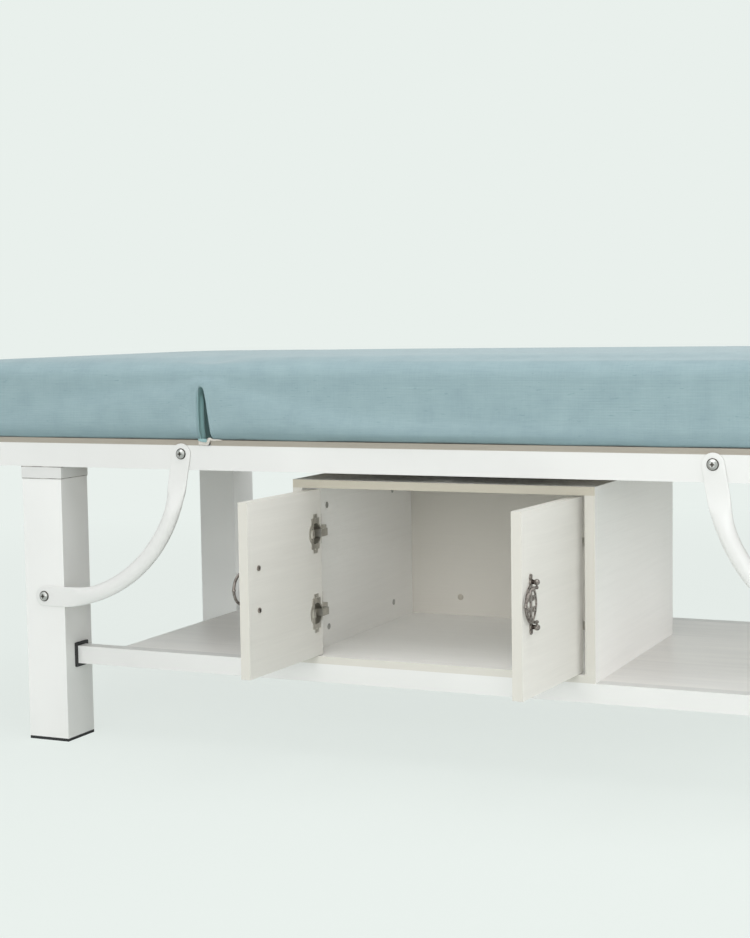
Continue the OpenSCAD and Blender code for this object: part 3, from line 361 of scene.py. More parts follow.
# Height of the round arch over the notch, its shift to the right and where it ends, as shares of half its width
NOTCH_ARCH = 0.012
ARCH_SHIFT = 0.12
ARCH_END = 0.88
# How far from the notch the mesh's columns lean with its sides
LEAN = 0.05
# Folds in the notch's left wall: size, place in from the front and spread
FOLDS = ((0.0030, 0.019, 0.005), (-0.0018, 0.010, 0.004))
FOLDS_REACH = 0.06
# Rounding of the notch's left edge, and width and rise of the lip along its right one
EDGE_R = 0.006
LIP = 0.0045
LIP_RISE = 0.0010
# Mesh steps from the rounded edges to the flat middle
EDGE_STEP, CORNER_STEP, NEAR_STEP, FLAT_STEP = 0.004, 0.007, 0.009, 0.016


def grid_steps(stops):
    """Values that pass through stops, given as (value, step up to the next), with no step after the last."""
    out = []
    for (a, step), (b, _) in zip(stops, stops[1:]):
        n = max(1, round((b - a)/step))
        out += [a + (b - a)*i/n for i in range(n)]
    return out + [stops[-1][0]]


def notch_edges(h):
    """Left and right edge of the notch at a height above the deck."""
    heights, left, right = zip(*NOTCH_SIDES)
    return float(np.interp(h, heights, left)), float(np.interp(h, heights, right))


def rounded(x, y, z):
    """A point of the square box, moved to the rounded and crowned form. z is 0 at the deck."""
    cx = max(-(HALF_L - PLAN_R), min(HALF_L - PLAN_R, x))
    cy = max(-(HALF_W - PLAN_R), min(HALF_W - PLAN_R, y))
    dx, dy = x - cx, y - cy
    reach = max(abs(dx), abs(dy))
    depth = PLAN_R - reach
    if reach == 0:
        depth = PLAN_R + min(HALF_L - PLAN_R - abs(x), HALF_W - PLAN_R - abs(y))
    inset = depth
    for edge, r in ((PAD_T, TOP_R), (0.0, FOOT_R)):
        gap = abs(edge - z)
        if depth < r and gap < r:
            a, b = r - depth, r - gap
            size = max(a, b)
            norm = math.hypot(a, b)
            inset = r - a/norm*size
            z = edge + math.copysign(r - b/norm*size, -1 if edge else 1)
            break
    if reach > 0:
        length = math.hypot(dx, dy)
        ux, uy = dx/length, dy/length
        waist = WAIST*math.sin(math.pi*max(0.0, min(1.0, z/PAD_T)))*max(0.0, 1 - depth/TOP_R)
        out = PLAN_R - inset - waist
        x, y = cx + ux*out, cy + uy*out
    share = max(0.0, 1 - (x/HALF_L)**4)*max(0.0, 1 - (y/HALF_W)**2)
    return Vector((x, y, z + CROWN*share*max(0.0, (z - PAD_T*CROWN_FROM)/(PAD_T*(1 - CROWN_FROM)))))


def mattress_mesh():
    xs = grid_steps([(-HALF_L, EDGE_STEP), (-HALF_L + TOP_R, CORNER_STEP), (-HALF_L + PLAN_R, FLAT_STEP),
                     (-0.47, NEAR_STEP), (NOTCH_FOOT[0] - 0.020, EDGE_STEP), (NOTCH_FOOT[0] - 0.008, 0.002),
                     (NOTCH_FOOT[0], None)])
    left_col = len(xs) - 1
    width = NOTCH_FOOT[1] - NOTCH_FOOT[0]
    xs += [NOTCH_FOOT[0] + width*(1 - math.cos(math.pi*i/(NOTCH_COLUMNS + 1)))/2
           for i in range(1, NOTCH_COLUMNS + 1)]
    right_col = len(xs)
    xs += grid_steps([(NOTCH_FOOT[1], 0.0015), (NOTCH_FOOT[1] + LIP, 0.0008), (NOTCH_FOOT[1] + LIP + 0.0008, 0.003),
                      (NOTCH_FOOT[1] + 0.02, NEAR_STEP), (-0.30, FLAT_STEP), (HALF_L - PLAN_R, CORNER_STEP),
                      (HALF_L - TOP_R, EDGE_STEP), (HALF_L, None)])
    ys = grid_steps([(-HALF_W, EDGE_STEP), (-HALF_W + TOP_R, CORNER_STEP), (-HALF_W + PLAN_R, FLAT_STEP),
                     (HALF_W - PLAN_R, CORNER_STEP), (HALF_W - TOP_R, EDGE_STEP), (HALF_W, None)])
    zs = grid_steps([(0.0, 0.003), (FOOT_R, 0.010), (NOTCH_TOP, 0.008), (PAD_T - TOP_R, 0.0043), (PAD_T, None)])
    apex = min(range(len(zs)), key=lambda k: abs(zs[k] - NOTCH_TOP))
    nx, ny, nz = len(xs), len(ys), len(zs)

    def column_x(i, z):
        """Columns beside the notch follow its edges up to the apex."""
        left, right = notch_edges(z)
        x = xs[i]
        if left_col <= i <= right_col:
            return left + (right - left)*(x - NOTCH_FOOT[0])/width
        if i < left_col:
            pull = max(0.0, 1 - (NOTCH_FOOT[0] - x)/LEAN)
            return x + (left - NOTCH_FOOT[0])*pull
        pull = max(0.0, 1 - (x - NOTCH_FOOT[1])/LEAN)
        return x + (right - NOTCH_FOOT[1])*pull

    mesh = bmesh.new()
    verts = {}

    def fade(z):
        """The arch over the notch flattens out towards the top edge."""
        return max(0.0, 1 - (z - NOTCH_TOP)/(PAD_T - TOP_R - NOTCH_TOP))

    def vert(i, j, k):
        key = (i, j, k)
        if key not in verts:
            z = zs[k]
            x = column_x(i, z)
            if left_col <= i <= right_col and k >= apex:
                left, right = notch_edges(z)
                u = (x - left)/(right - left)*2 - 1
                if abs(u) < ARCH_END:
                    z += NOTCH_ARCH*math.sqrt(max(0.0, 1 - (u + ARCH_SHIFT)**2))*fade(z)
            if i == left_col and 0 < k < apex:
                edge = min(HALF_W - abs(ys[j]), FOLDS_REACH)
                x += sum(size*math.exp(-((edge - at)/wide)**2) for size, at, wide in FOLDS)
            p = rounded(x, ys[j], z)
            if i >= right_col and k <= apex and j in (0, ny - 1) and xs[i] - NOTCH_FOOT[1] <= LIP:
                p.y += math.copysign(LIP_RISE, p.y)
            if k <= apex and i <= right_col:
                d = notch_edges(z)[0] - x
                if 0 <= d < EDGE_R and j in (0, ny - 1):
                    p.y -= math.copysign(EDGE_R - math.sqrt(EDGE_R**2 - (EDGE_R - d)**2), p.y)
            verts[key] = mesh.verts.new(p)
        return verts[key]

    def quad(*keys):
        mesh.faces.new([vert(*key) for key in keys])

    def cut(i, k):
        return left_col <= i < right_col and k < apex

    for i in range(nx - 1):
        for j in range(ny - 1):
            quad((i, j, nz - 1), (i + 1, j, nz - 1), (i + 1, j + 1, nz - 1), (i, j + 1, nz - 1))
            k = apex if left_col <= i < right_col else 0
            quad((i, j, k), (i, j + 1, k), (i + 1, j + 1, k), (i + 1, j, k))
        for k in range(nz - 1):
            if not cut(i, k):
                quad((i, 0, k), (i + 1, 0, k), (i + 1, 0, k + 1), (i, 0, k + 1))
                quad((i + 1, ny - 1, k), (i, ny - 1, k), (i, ny - 1, k + 1), (i + 1, ny - 1, k + 1))
    for j in range(ny - 1):
        for k in range(nz - 1):
            quad((0, j + 1, k), (0, j, k), (0, j, k + 1), (0, j + 1, k + 1))
            quad((nx - 1, j, k), (nx - 1, j + 1, k), (nx - 1, j + 1, k + 1), (nx - 1, j, k + 1))
            if k < apex:
                quad((left_col, j, k), (left_col, j + 1, k), (left_col, j + 1, k + 1), (left_col, j, k + 1))
                quad((right_col, j + 1, k), (right_col, j, k), (right_col, j, k + 1), (right_col, j + 1, k + 1))
    data = bpy.data.meshes.new("mattress")
    mesh.normal_update()
    mesh.to_mesh(data)
    mesh.free()
    data.transform(Matrix.Translation((0, 0, PAD_Z)))
    return data


def make_object(name, data, *mats):
    for mat in mats:
        data.materials.append(mat)
    o = bpy.data.objects.new(name, data)
    scene.collection.objects.link(o)
    return o


def smooth(o):
    for p in o.data.polygons:
        p.use_smooth = True


# Steps of the filling's simulation, and how far it may move a point
FILL_STEPS = 20
FILL_CAP = 0.006
# How far the filled cover rises over its crown
FILL_RISE = 0.006
# Height above the deck of the band of painted shade along the cover's foot
FOOT_SHADE_H = 0.026


def settle(o, cap, hold):
    """Fills the cover by a short cloth simulation, with every move capped. hold gives a point's stiffness, 0 to 1."""
    rest = np.array([v.co for v in o.data.vertices])
    group = o.vertex_groups.new(name="held")
    for v in o.data.vertices:
        group.add([v.index], hold(v.co), "REPLACE")
    cloth = o.modifiers.new("fill", "CLOTH")
    cloth.settings.quality = 4
    cloth.settings.mass = 0.4
    cloth.settings.tension_stiffness = 25
    cloth.settings.compression_stiffness = 25
    cloth.settings.bending_stiffness = 4
    cloth.settings.use_pressure = True
    cloth.settings.uniform_pressure_force = 4
    cloth.settings.vertex_group_mass = "held"
    cloth.settings.effector_weights.gravity = 0
    cloth.point_cache.frame_start = 1
    cloth.point_cache.frame_end = FILL_STEPS
    for step in range(1, FILL_STEPS + 1):
        scene.frame_set(step)
    moved = o.evaluated_get(bpy.context.evaluated_depsgraph_get())
    shape = np.array([v.co for v in moved.data.vertices])
    o.modifiers.remove(cloth)
    scene.frame_set(1)
    move = shape - rest
    size = np.linalg.norm(move, axis=1, keepdims=True)
    move *= np.minimum(1, cap/np.maximum(size, 1e-9))
    o.data.vertices.foreach_set("co", (rest + move).astype(np.float32).ravel())
    o.data.update()


def mark_inside(data):
    """Writes how far inside the notch and how near the deck each point lies, for the painted shade in the fabric's
    colour there.
    """
    mark = data.attributes.new("inside", "FLOAT", "POINT")
    foot_shade = data.attributes.new("foot_shade", "FLOAT", "POINT")
    for v in data.vertices:
        h = v.co.z - PAD_Z
        foot_shade.data[v.index].value = max(0.0, 1 - h/FOOT_SHADE_H)
        left, right = notch_edges(h)
        near = left - 0.002 < v.co.x < right + 0.001 and h < NOTCH_TOP + NOTCH_ARCH + 0.001
        deep = (HALF_W - abs(v.co.y) - WAIST - 0.001)/0.004
        mark.data[v.index].value = max(0.0, min(1.0, deep)) if near else 0.0


def bend(o):
    """Bakes the object's place into its mesh."""
    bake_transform(o)


# Middle of the notch, and how far from it the cover is held
NOTCH_MID = -0.394
HELD_REACH = 0.03
# Depth of the cover's side layer, and height and size of the waves along its foot and of the ripples in its sides
SIDE_T = 0.012
WAVE_H = 0.03
WAVE = 0.0022
RIPPLE = 0.0012


def hold(p):
    """The foot and the notch keep their place while the cover fills."""
    floor = 1.0 if p.z < PAD_Z + 0.004 else 0.0
    cleft = max(0.0, 1 - abs(p.x - NOTCH_MID)/HELD_REACH) if p.z < PAD_Z + NOTCH_TOP + 0.02 else 0.0
    return max(floor, min(1.0, cleft*1.5))


def wrinkle(p):
    """Waves along the cover's foot and shallow ripples in the long sides."""
    h = p.z - PAD_Z
    long_side = abs(p.y) > HALF_W - SIDE_T
    if not long_side and abs(p.x) <= HALF_L - SIDE_T:
        return
    if h < WAVE_H:
        broad = noise.noise(Vector((p.x*14, p.y*14, 0.3)))
        narrow = noise.noise(Vector((p.x*38, p.y*38, 4.1)))
        p.z += WAVE*(broad*0.5 + narrow*0.25)*(1 - h/WAVE_H)
    if long_side:
        p.y += math.copysign(noise.noise(Vector((p.x*7, p.y*7, h*9)))*RIPPLE, p.y)


def mattress():
    o = make_object("mattress", mattress_mesh(), LINEN)
    settle(o, FILL_CAP, hold)
    for v in o.data.vertices:
        wrinkle(v.co)
        top = PAD_Z + PAD_T + (CROWN + FILL_RISE)*(1 - min(1.0, abs(v.co.x)/HALF_L)**4)
        v.co.z = min(top, max(v.co.z, PAD_Z - 0.0005))
    smooth(o)
    sub = o.modifiers.new("round", "SUBSURF")
    sub.levels = sub.render_levels = 1
    bpy.context.view_layer.update()
    done = bpy.data.meshes.new_from_object(o.evaluated_get(bpy.context.evaluated_depsgraph_get()))
    o.modifiers.clear()
    o.data = done
    smooth(o)
    mark_inside(o.data)
    bend(o)
    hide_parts("pad_main", "pad_bend", "pad_back")


mattress()

# Points along the bed, from the notch's left edge, and the height there of a hanging strip's top and bottom edge
FLAP = ((-0.4024, 0.5215, 0.5180), (-0.3995, 0.5215, 0.5172), (-0.3960, 0.5215, 0.5163),
        (-0.3920, 0.5215, 0.5158), (-0.3885, 0.5215, 0.5156), (-0.3862, 0.5215, 0.5172))
LINING = ((-0.4032, 0.5205, 0.5106), (-0.3970, 0.5205, 0.5104), (-0.3905, 0.5205, 0.5104),
          (-0.3868, 0.5200, 0.5104), (-0.3845, 0.5228, 0.5112), (-0.3815, 0.5232, 0.5184),
          (-0.3785, 0.5218, 0.5184), (-0.3745, 0.5206, 0.5176), (-0.3690, 0.5208, 0.5184),
          (-0.3640, 0.5202, 0.5186), (-0.3590, 0.5200, 0.5192))
STRIP_T = 0.0006
STRIP_ROWS = 4
# Columns of a strip for each of its points but the first
STRIP_COLUMNS = 5


def strip(name, mat, edges, front, wave, inside=0.0):
    """A thin strip of cloth down the deck's edge, from under the mattress. inside gives it the notch's painted shade
    tint.
    """
    mesh = bmesh.new()
    places, tops, foots = zip(*edges)
    count = STRIP_COLUMNS*(len(edges) - 1)
    grid = []
    for i in range(count + 1):
        x = places[0] + (places[-1] - places[0])*i/count
        top, foot = float(np.interp(x, places, tops)), float(np.interp(x, places, foots))
        column = []
        for k in range(STRIP_ROWS + 1):
            z = top + (foot - top)*k/STRIP_ROWS
            y = front + wave*noise.noise(Vector((x*160, z*120, 2.7)))
            column.append((mesh.verts.new((x, y, z)), mesh.verts.new((x, y + STRIP_T, z))))
        grid.append(column)
    for a, b in zip(grid, grid[1:]):
        for k in range(STRIP_ROWS):
            mesh.faces.new((a[k][0], a[k + 1][0], b[k + 1][0], b[k][0]))
            mesh.faces.new((b[k][1], b[k + 1][1], a[k + 1][1], a[k][1]))
        mesh.faces.new((a[0][1], a[0][0], b[0][0], b[0][1]))
        mesh.faces.new((b[-1][1], b[-1][0], a[-1][0], a[-1][1]))
    for column, turn in ((grid[0], 1), (grid[-1], -1)):
        for k in range(STRIP_ROWS):
            face = (column[k][0], column[k][1], column[k + 1][1], column[k + 1][0])
            mesh.faces.new(face[::turn])
    mesh.normal_update()
    data = bpy.data.meshes.new(name)
    mesh.to_mesh(data)
    mesh.free()
    mark = data.attributes.new("inside", "FLOAT", "POINT")
    for v in data.vertices:
        mark.data[v.index].value = inside
    o = make_object(name, data, mat)
    smooth(o)
    bend(o)
    return o


def lining_cloth():
    s = Shader("lining_white", srgb(206, 200, 192), 0.8)
    weave = s.noise(900, 3)
    s.colour(s.mix(weave, srgb(196, 190, 182), srgb(218, 213, 206)))
    s.bump(weave, 0.0001, 0.5)
    return s.mat


# The flap hangs in the notch and takes most of its painted shade tint
strip("notch_flap", LINEN, FLAP, -0.3425, 0.0008, 0.8)
strip("notch_lining", lining_cloth(), LINING, -0.3400, 0.0010)


# Corner braces

low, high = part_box("brace_front_left")
# Flattened ends: width, thickness, length, and the length over which the tube turns round
BRACE_FLAT_W = 0.034
BRACE_FLAT_T = 0.003
BRACE_FLAT_L = 0.042
BRACE_BLEND_L = 0.068
# The tube's width and thickness, and its bend
BRACE_W = 0.027
BRACE_T = 0.020
BEND_R = 0.240
BEND_ANGLE = math.radians(80)
# How far the bend swings out towards the corner
BEND_OUT = 0.002
# Powers of the section's outline: square at the ends and oval from there on, and how fast it changes
SQUARE, OVAL, ROUNDING = 8.0, 2.0, 2.5
LOBE_STEPS = 8
AROUND = 28
BRACE_FOOT = Vector((low.x + BRACE_FLAT_W/2, (low.y + high.y)/2, low.z + BRACE_FLAT_W/2))
RUN = high.x - low.x - BRACE_FLAT_W
RISE = high.z - low.z - BRACE_FLAT_W
TOP_RUN = (RISE - BEND_R*(1 - math.cos(BEND_ANGLE)))/math.sin(BEND_ANGLE)
LOW_RUN = RUN - BEND_R*math.sin(BEND_ANGLE) - TOP_RUN*math.cos(BEND_ANGLE)
BRACE_LENGTH = LOW_RUN + BEND_R*BEND_ANGLE + TOP_RUN


def signs(corner):
    """What a point of the front left corner's X and Y are multiplied by at another corner."""
    return (1 if "left" in corner else -1), (1 if "front" in corner else -1)


def bridge(mesh, a, b):
    """Faces between two closed loops of as many points."""
    for i in range(len(a)):
        j = (i + 1) % len(a)
        mesh.faces.new((a[i], a[j], b[j], b[i]))


def ease(t):
    t = max(0.0, min(1.0, t))
    return t*t*(3 - 2*t)


def brace_point(along):
    """Place and heading at a length along the brace, from the lower bolt."""
    turn = max(0.0, min(BEND_ANGLE, (along - LOW_RUN)/BEND_R))
    x = min(along, LOW_RUN) + BEND_R*math.sin(turn)
    z = BEND_R*(1 - math.cos(turn))
    past = max(0.0, along - LOW_RUN - BEND_R*BEND_ANGLE)
    x += past*math.cos(BEND_ANGLE)
    z += past*math.sin(BEND_ANGLE)
    return x, z, turn


def brace_section(along):
    """Half width, half thickness and squareness of the brace at a length along it."""
    end = min(along, BRACE_LENGTH - along)
    r = BRACE_FLAT_W/2
    if end < 0:
        return math.sqrt(max(0.0, r*r - end*end)), BRACE_FLAT_T/2, SQUARE
    round_share = ease((end - BRACE_FLAT_L)/BRACE_BLEND_L)
    half_w = r + (BRACE_W/2 - r)*round_share
    half_t = (BRACE_FLAT_T + (BRACE_T - BRACE_FLAT_T)*round_share)/2
    return half_w, half_t, SQUARE + (OVAL - SQUARE)*min(1.0, ROUNDING*round_share)


def brace(corner):
    """An oval tube with flattened, rounded ends, bent from the leg up to the rail."""
    sx, sy = signs(corner)
    lobe = [-BRACE_FLAT_W/2*math.cos(math.pi/2*i/LOBE_STEPS) for i in range(LOBE_STEPS)]
    stops = lobe + grid_steps([(0.0, 0.008), (BRACE_LENGTH, None)]) + [BRACE_LENGTH - a for a in reversed(lobe)]
    mesh = bmesh.new()
    rings = []
    for along in stops:
        x, z, turn = brace_point(along)
        half_w, half_t, square = brace_section(along)
        end = min(along, BRACE_LENGTH - along)
        out = BEND_OUT*ease((end - BRACE_FLAT_L)/BRACE_BLEND_L)
        ring = []
        for i in range(AROUND):
            a = 2*math.pi*i/AROUND
            c, q = math.cos(a), math.sin(a)
            u = math.copysign(abs(c)**(2/square), c)*half_w - out
            v = math.copysign(abs(q)**(2/square), q)*half_t
            ring.append(mesh.verts.new((sx*(BRACE_FOOT.x + x - math.sin(turn)*u), sy*(BRACE_FOOT.y + v),
                                        BRACE_FOOT.z + z + math.cos(turn)*u)))
        rings.append(ring)
    for a, b in zip(rings, rings[1:]):
        bridge(mesh, a, b)
    mesh.faces.new(reversed(rings[0]))
    mesh.faces.new(rings[-1])
    bmesh.ops.remove_doubles(mesh, verts=mesh.verts, dist=0.00001)
    bmesh.ops.recalc_face_normals(mesh, faces=mesh.faces)
    data = bpy.data.meshes.new("brace_tube_" + corner)
    mesh.to_mesh(data)
    mesh.free()
    # The tubes take the rails' darker powder coat, which is painted shade
    o = make_object("brace_tube_" + corner, data, SHADED_RAIL_WHITE)
    smooth(o)
    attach(o, "frame")
    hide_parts("brace_" + corner)


for corner in CORNERS:
    brace(corner)


# Small trim: bolt washers and recesses and the seams at the legs' tops, dark with painted shade, and a cap on the
# cabinet's back

BOLT_HEAD_R = 0.008
BOLT_FACE_H = 0.0045
# A washer's section, as (radius, height)
WASHER = ((BOLT_HEAD_R - 0.0012, 0.0), (BOLT_HEAD_R + 0.0011, 0.0), (BOLT_HEAD_R + 0.0009, 0.0007),
          (BOLT_HEAD_R + 0.0001, 0.0018), (BOLT_HEAD_R - 0.0012, 0.0019))
# Half length, half width, depth under the head's face and height of a drive recess
CROSS_L, CROSS_W, CROSS_DEPTH, CROSS_H = 0.0036, 0.0008, 0.0006, 0.0008
CROSS = ((CROSS_L, CROSS_W), (CROSS_W, CROSS_W), (CROSS_W, CROSS_L), (-CROSS_W, CROSS_L),
         (-CROSS_W, CROSS_W), (-CROSS_L, CROSS_W), (-CROSS_L, -CROSS_W), (-CROSS_W, -CROSS_W),
         (-CROSS_W, -CROSS_L), (CROSS_W, -CROSS_L), (CROSS_W, -CROSS_W), (CROSS_L, -CROSS_W))
# Depth of the dark rings of painted shade round the legs
SEAM_WALL = 0.002
# Place, radius and height of the cap on the inside of the cabinet's back, and how deep it sits
CAP_PLACE = (-0.140, 0.205)
CAP_R, CAP_H, CAP_SUNK = 0.0055, 0.0016, 0.0004
CAP_CORE_R = 0.0006
DOME_STEPS = 6


def trim_object(name, mesh, mat):
    bmesh.ops.recalc_face_normals(mesh, faces=mesh.faces)
    data = bpy.data.meshes.new(name)
    mesh.to_mesh(data)
    mesh.free()
    o = make_object(name, data, mat)
    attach(o, "frame")


def lathe(mesh, profile, centre, facing):
    """Closed profile of (radius, height) turned about the Y axis at centre, height towards -Y where facing is 1."""
    angles = [2*math.pi*i/AROUND for i in range(AROUND)]
    rings = [[mesh.verts.new((centre[0] + r*math.cos(a), centre[1] - facing*h, centre[2] + r*math.sin(a)))
              for a in angles] for r, h in profile]
    for a, b in zip(rings, rings[1:] + rings[:1]):
        bridge(mesh, a, b)


def prism_y(mesh, outline, centre, facing, height):
    """Outline in X and Z, drawn out from centre towards the viewer of that side."""
    base = [mesh.verts.new((centre[0] + x, centre[1], centre[2] + z)) for x, z in outline]
    top = [mesh.verts.new((centre[0] + x, centre[1] - facing*height, centre[2] + z)) for x, z in outline]
    bridge(mesh, base, top)
    mesh.faces.new(base)
    mesh.faces.new(top)


def bolt_trim():
    """A washer and a drive recess for each bolt of the braces, dark as painted shade: the shadow round each head and
    in its recess.
    """
    rings, crosses = bmesh.new(), bmesh.new()
    for corner in CORNERS:
        sx, facing = signs(corner)
        for along in (0.0, BRACE_LENGTH):
            x, z, _ = brace_point(along)
            at = (sx*(BRACE_FOOT.x + x), facing*(BRACE_FOOT.y - BRACE_FLAT_T/2), BRACE_FOOT.z + z)
            lathe(rings, WASHER, at, facing)
            face = (at[0], at[1] - facing*(BOLT_FACE_H - CROSS_DEPTH), at[2])
            prism_y(crosses, CROSS, face, facing, CROSS_H)
    trim_object("bolt_washers", rings, BOLT_SHADE_METAL)
    trim_object("bolt_recesses", crosses, BOLT_SHADE_METAL)


def square_ring(mesh, centre, half, wall, z0, z1):
    """A square ring round a leg, from half - wall to half, between two heights."""
    corners = ((-1, -1), (1, -1), (1, 1), (-1, 1))
    loops = [[mesh.verts.new((centre.x + sx*h, centre.y + sy*h, z)) for sx, sy in corners]
             for h, z in ((half - wall, z0), (half, z0), (half, z1), (half - wall, z1))]
    for a, b in zip(loops, loops[1:] + loops[:1]):
        bridge(mesh, a, b)


def leg_seams():
    """Dark rings of painted shade: the shadow line under the rail at the collar's top, and the shaded joint where the
    collar meets the leg.
    """
    mesh = bmesh.new()
    rail_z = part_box("rail_front")[0].z
    for corner in CORNERS:
        lo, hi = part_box("leg_" + corner)
        centre, half = (lo + hi)/2, (hi.x - lo.x)/2
        square_ring(mesh, centre, half + 0.0005, SEAM_WALL, hi.z - 0.0012, hi.z - 0.0001)
        square_ring(mesh, centre, half + 0.0012, SEAM_WALL, rail_z - 0.0013, rail_z - 0.0001)
    trim_object("leg_seams", mesh, shadow_gap())


def shadow_gap():
    # Painted shade: a mottled dark grey that stands in for the shadow in these joints
    s = Shader("painted_shadow_joint", srgb(120, 116, 110), 0.8)
    gap_mottle = s.noise(60, 4)
    s.colour(s.mix(s.spread(gap_mottle, 0.35, 0.6), srgb(96, 92, 86), srgb(170, 167, 162)))
    s.bump(gap_mottle, 0.0001, 0.4)
    return s.mat


def cable_cap():
    """A low plastic cap that closes the hole in the cabinet's back."""
    mesh = bmesh.new()
    face_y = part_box("cabinet_back")[0].y
    angles = [math.pi/2*i/DOME_STEPS for i in range(DOME_STEPS)]
    dome = [(CAP_R*math.cos(a), CAP_H*math.sin(a)) for a in angles]
    profile = [(CAP_CORE_R, -CAP_SUNK), (CAP_R, -CAP_SUNK), *dome, (CAP_CORE_R, CAP_H)]
    lathe(mesh, profile, (CAP_PLACE[0], face_y, CAP_PLACE[1]), 1)
    trim_object("back_panel_cap", mesh, cap_plastic())


def cap_plastic():
    s = Shader("cap_plastic", srgb(176, 170, 158), 0.5)
    s.colour(s.mix(s.noise(90, 3), srgb(166, 160, 148), srgb(188, 182, 171)))
    s.bump(s.noise(700, 2), 0.0001, 0.4)
    return s.mat


# Painted shade: a dark metal for the washer rings and the raised crosses that stand in for the shadow round the bolt
# heads and in their recesses
BOLT_SHADE_METAL = metal("zinc_painted_shade", srgb(78, 74, 70), 0.42)
bolt_trim()
leg_seams()
cable_cap()


# Set: floor, light and camera

BACKDROP = srgb(233, 240, 236)
# Share of the floor that takes light and shadow near the object, and how bright the lamps make it
SHADOW = 0.16
FLOOR_LIGHT = 1.1
# Distances from the middle over which the shadow's share fades out
SHADOW_NEAR, SHADOW_FAR = 1.4, 3.6
FILL_LIGHT = 0.42
# Name, place, aim, size and power of each lamp
LAMPS = (("overhead", (0.2, -0.6, 3.2), (0, 0, 0.4), (4.0, 3.0), 68),
         ("key", (0.8, -4.7, 1.6), (0.1, 0, 0.35), (3.4, 2.2), 98),
         ("right", (4.2, 0.7, 1.5), (0.1, 0, 0.35), (2.4, 2.0), 73))
# The camera fitted to the photograph. Focal length and width are in pixels
CAMERA_AT = (1.0284, -2.8101, 0.7062)
YAW, PITCH, ROLL = math.radians(24.376), math.radians(4.798), -0.015
FOCAL, WIDTH = 1762.4, 750
SENSOR = 36


def math_node(tree, op, a, b):
    n = tree.nodes.new("ShaderNodeMath")
    n.operation = op
    for socket, value in zip(n.inputs, (a, b)):
        if isinstance(value, bpy.types.NodeSocket):
            tree.links.new(value, socket)
        else:
            socket.default_value = value
    return n.outputs[0]


def seen_ray(tree):
    """1 on rays that show the backdrop: from the camera, off gloss and through clear pieces."""
    path = tree.nodes.new("ShaderNodeLightPath")
    direct = math_node(tree, "MAXIMUM", path.outputs["Is Camera Ray"], path.outputs["Is Glossy Ray"])
    return math_node(tree, "MAXIMUM", direct, path.outputs["Is Transmission Ray"])


def mixed(tree, share, a, b):
    n = tree.nodes.new("ShaderNodeMixShader")
    for socket, value in zip(n.inputs, (share, a, b)):
        tree.links.new(value, socket)
    return n.outputs[0]


def pale_floor():
    """The backdrop's own colour to the camera, darkened a little by the object's shadow."""
    mat = bpy.data.materials.new("floor")
    mat.use_nodes = True
    tree = mat.node_tree
    tree.nodes.clear()
    link = tree.links.new
    out = tree.nodes.new("ShaderNodeOutputMaterial")
    at = tree.nodes.new("ShaderNodeTexCoord")
    away = tree.nodes.new("ShaderNodeVectorMath")
    away.operation = "LENGTH"
    near = tree.nodes.new("ShaderNodeMapRange")
    near.inputs["From Min"].default_value = SHADOW_NEAR
    near.inputs["From Max"].default_value = SHADOW_FAR
    near.inputs["To Min"].default_value = SHADOW
    near.inputs["To Max"].default_value = 0.0
    glow = tree.nodes.new("ShaderNodeEmission")
    glow.inputs["Color"].default_value = (*BACKDROP, 1)
    matt = tree.nodes.new("ShaderNodeBsdfDiffuse")
    matt.inputs["Color"].default_value = (*BACKDROP, 1)
    link(at.outputs["Object"], away.inputs[0])
    link(away.outputs["Value"], near.inputs["Value"])
    share = near.outputs[0]
    left = math_node(tree, "SUBTRACT", 1.0, math_node(tree, "MULTIPLY", share, FLOOR_LIGHT))
    link(math_node(tree, "DIVIDE", left, math_node(tree, "SUBTRACT", 1.0, share)), glow.inputs["Strength"])
    shown = mixed(tree, share, glow.outputs[0], matt.outputs[0])
    link(mixed(tree, seen_ray(tree), matt.outputs[0], shown), out.inputs[0])
    return mat


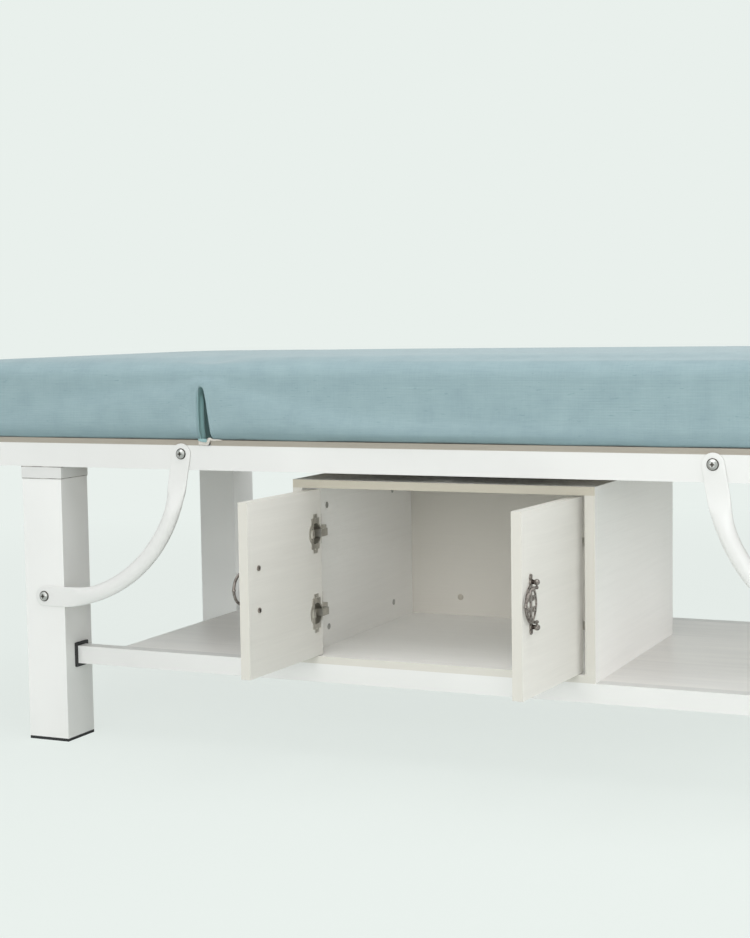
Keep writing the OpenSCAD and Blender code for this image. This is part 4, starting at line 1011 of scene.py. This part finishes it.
def floor():
    mesh = bmesh.new()
    bmesh.ops.create_grid(mesh, x_segments=8, y_segments=8, size=40)
    data = bpy.data.meshes.new("floor")
    mesh.to_mesh(data)
    mesh.free()
    o = make_object("floor", data, pale_floor())


def world():
    """Even white light, seen by the camera as the backdrop's colour."""
    w = bpy.data.worlds.new("studio")
    scene.world = w
    w.use_nodes = True
    tree = w.node_tree
    tree.nodes.clear()
    out = tree.nodes.new("ShaderNodeOutputWorld")
    fill = tree.nodes.new("ShaderNodeBackground")
    fill.inputs["Color"].default_value = (1.0, 1.0, 1.0, 1)
    fill.inputs["Strength"].default_value = FILL_LIGHT
    shown = tree.nodes.new("ShaderNodeBackground")
    shown.inputs["Color"].default_value = (*BACKDROP, 1)
    tree.links.new(mixed(tree, seen_ray(tree), fill.outputs[0], shown.outputs[0]), out.inputs[0])


def area(name, at, to, size, power):
    light = bpy.data.lights.new(name, "AREA")
    light.shape = "RECTANGLE"
    light.size, light.size_y = size
    light.energy = power
    o = bpy.data.objects.new(name, light)
    o.location = at
    o.rotation_euler = (Vector(to) - Vector(at)).to_track_quat("-Z", "Y").to_euler()
    scene.collection.objects.link(o)


def camera():
    """Camera fitted to the photograph: place, heading, tilt and roll."""
    ahead = Vector((-math.sin(YAW)*math.cos(PITCH), math.cos(YAW)*math.cos(PITCH), -math.sin(PITCH)))
    right = Vector((math.cos(YAW), math.sin(YAW), 0))
    up = right.cross(ahead)
    across = right*math.cos(ROLL) + up*math.sin(ROLL)
    above = up*math.cos(ROLL) - right*math.sin(ROLL)
    lens = bpy.data.cameras.new("camera")
    lens.sensor_fit = "HORIZONTAL"
    lens.sensor_width = SENSOR
    lens.lens = FOCAL/WIDTH*SENSOR
    o = bpy.data.objects.new("camera", lens)
    scene.collection.objects.link(o)
    turn = Matrix((across, above, -ahead)).transposed().to_4x4()
    o.matrix_world = Matrix.Translation(CAMERA_AT) @ turn
    scene.camera = o


floor()
world()
for lamp in LAMPS:
    area(*lamp)
camera()

scene.view_settings.view_transform = "Standard"
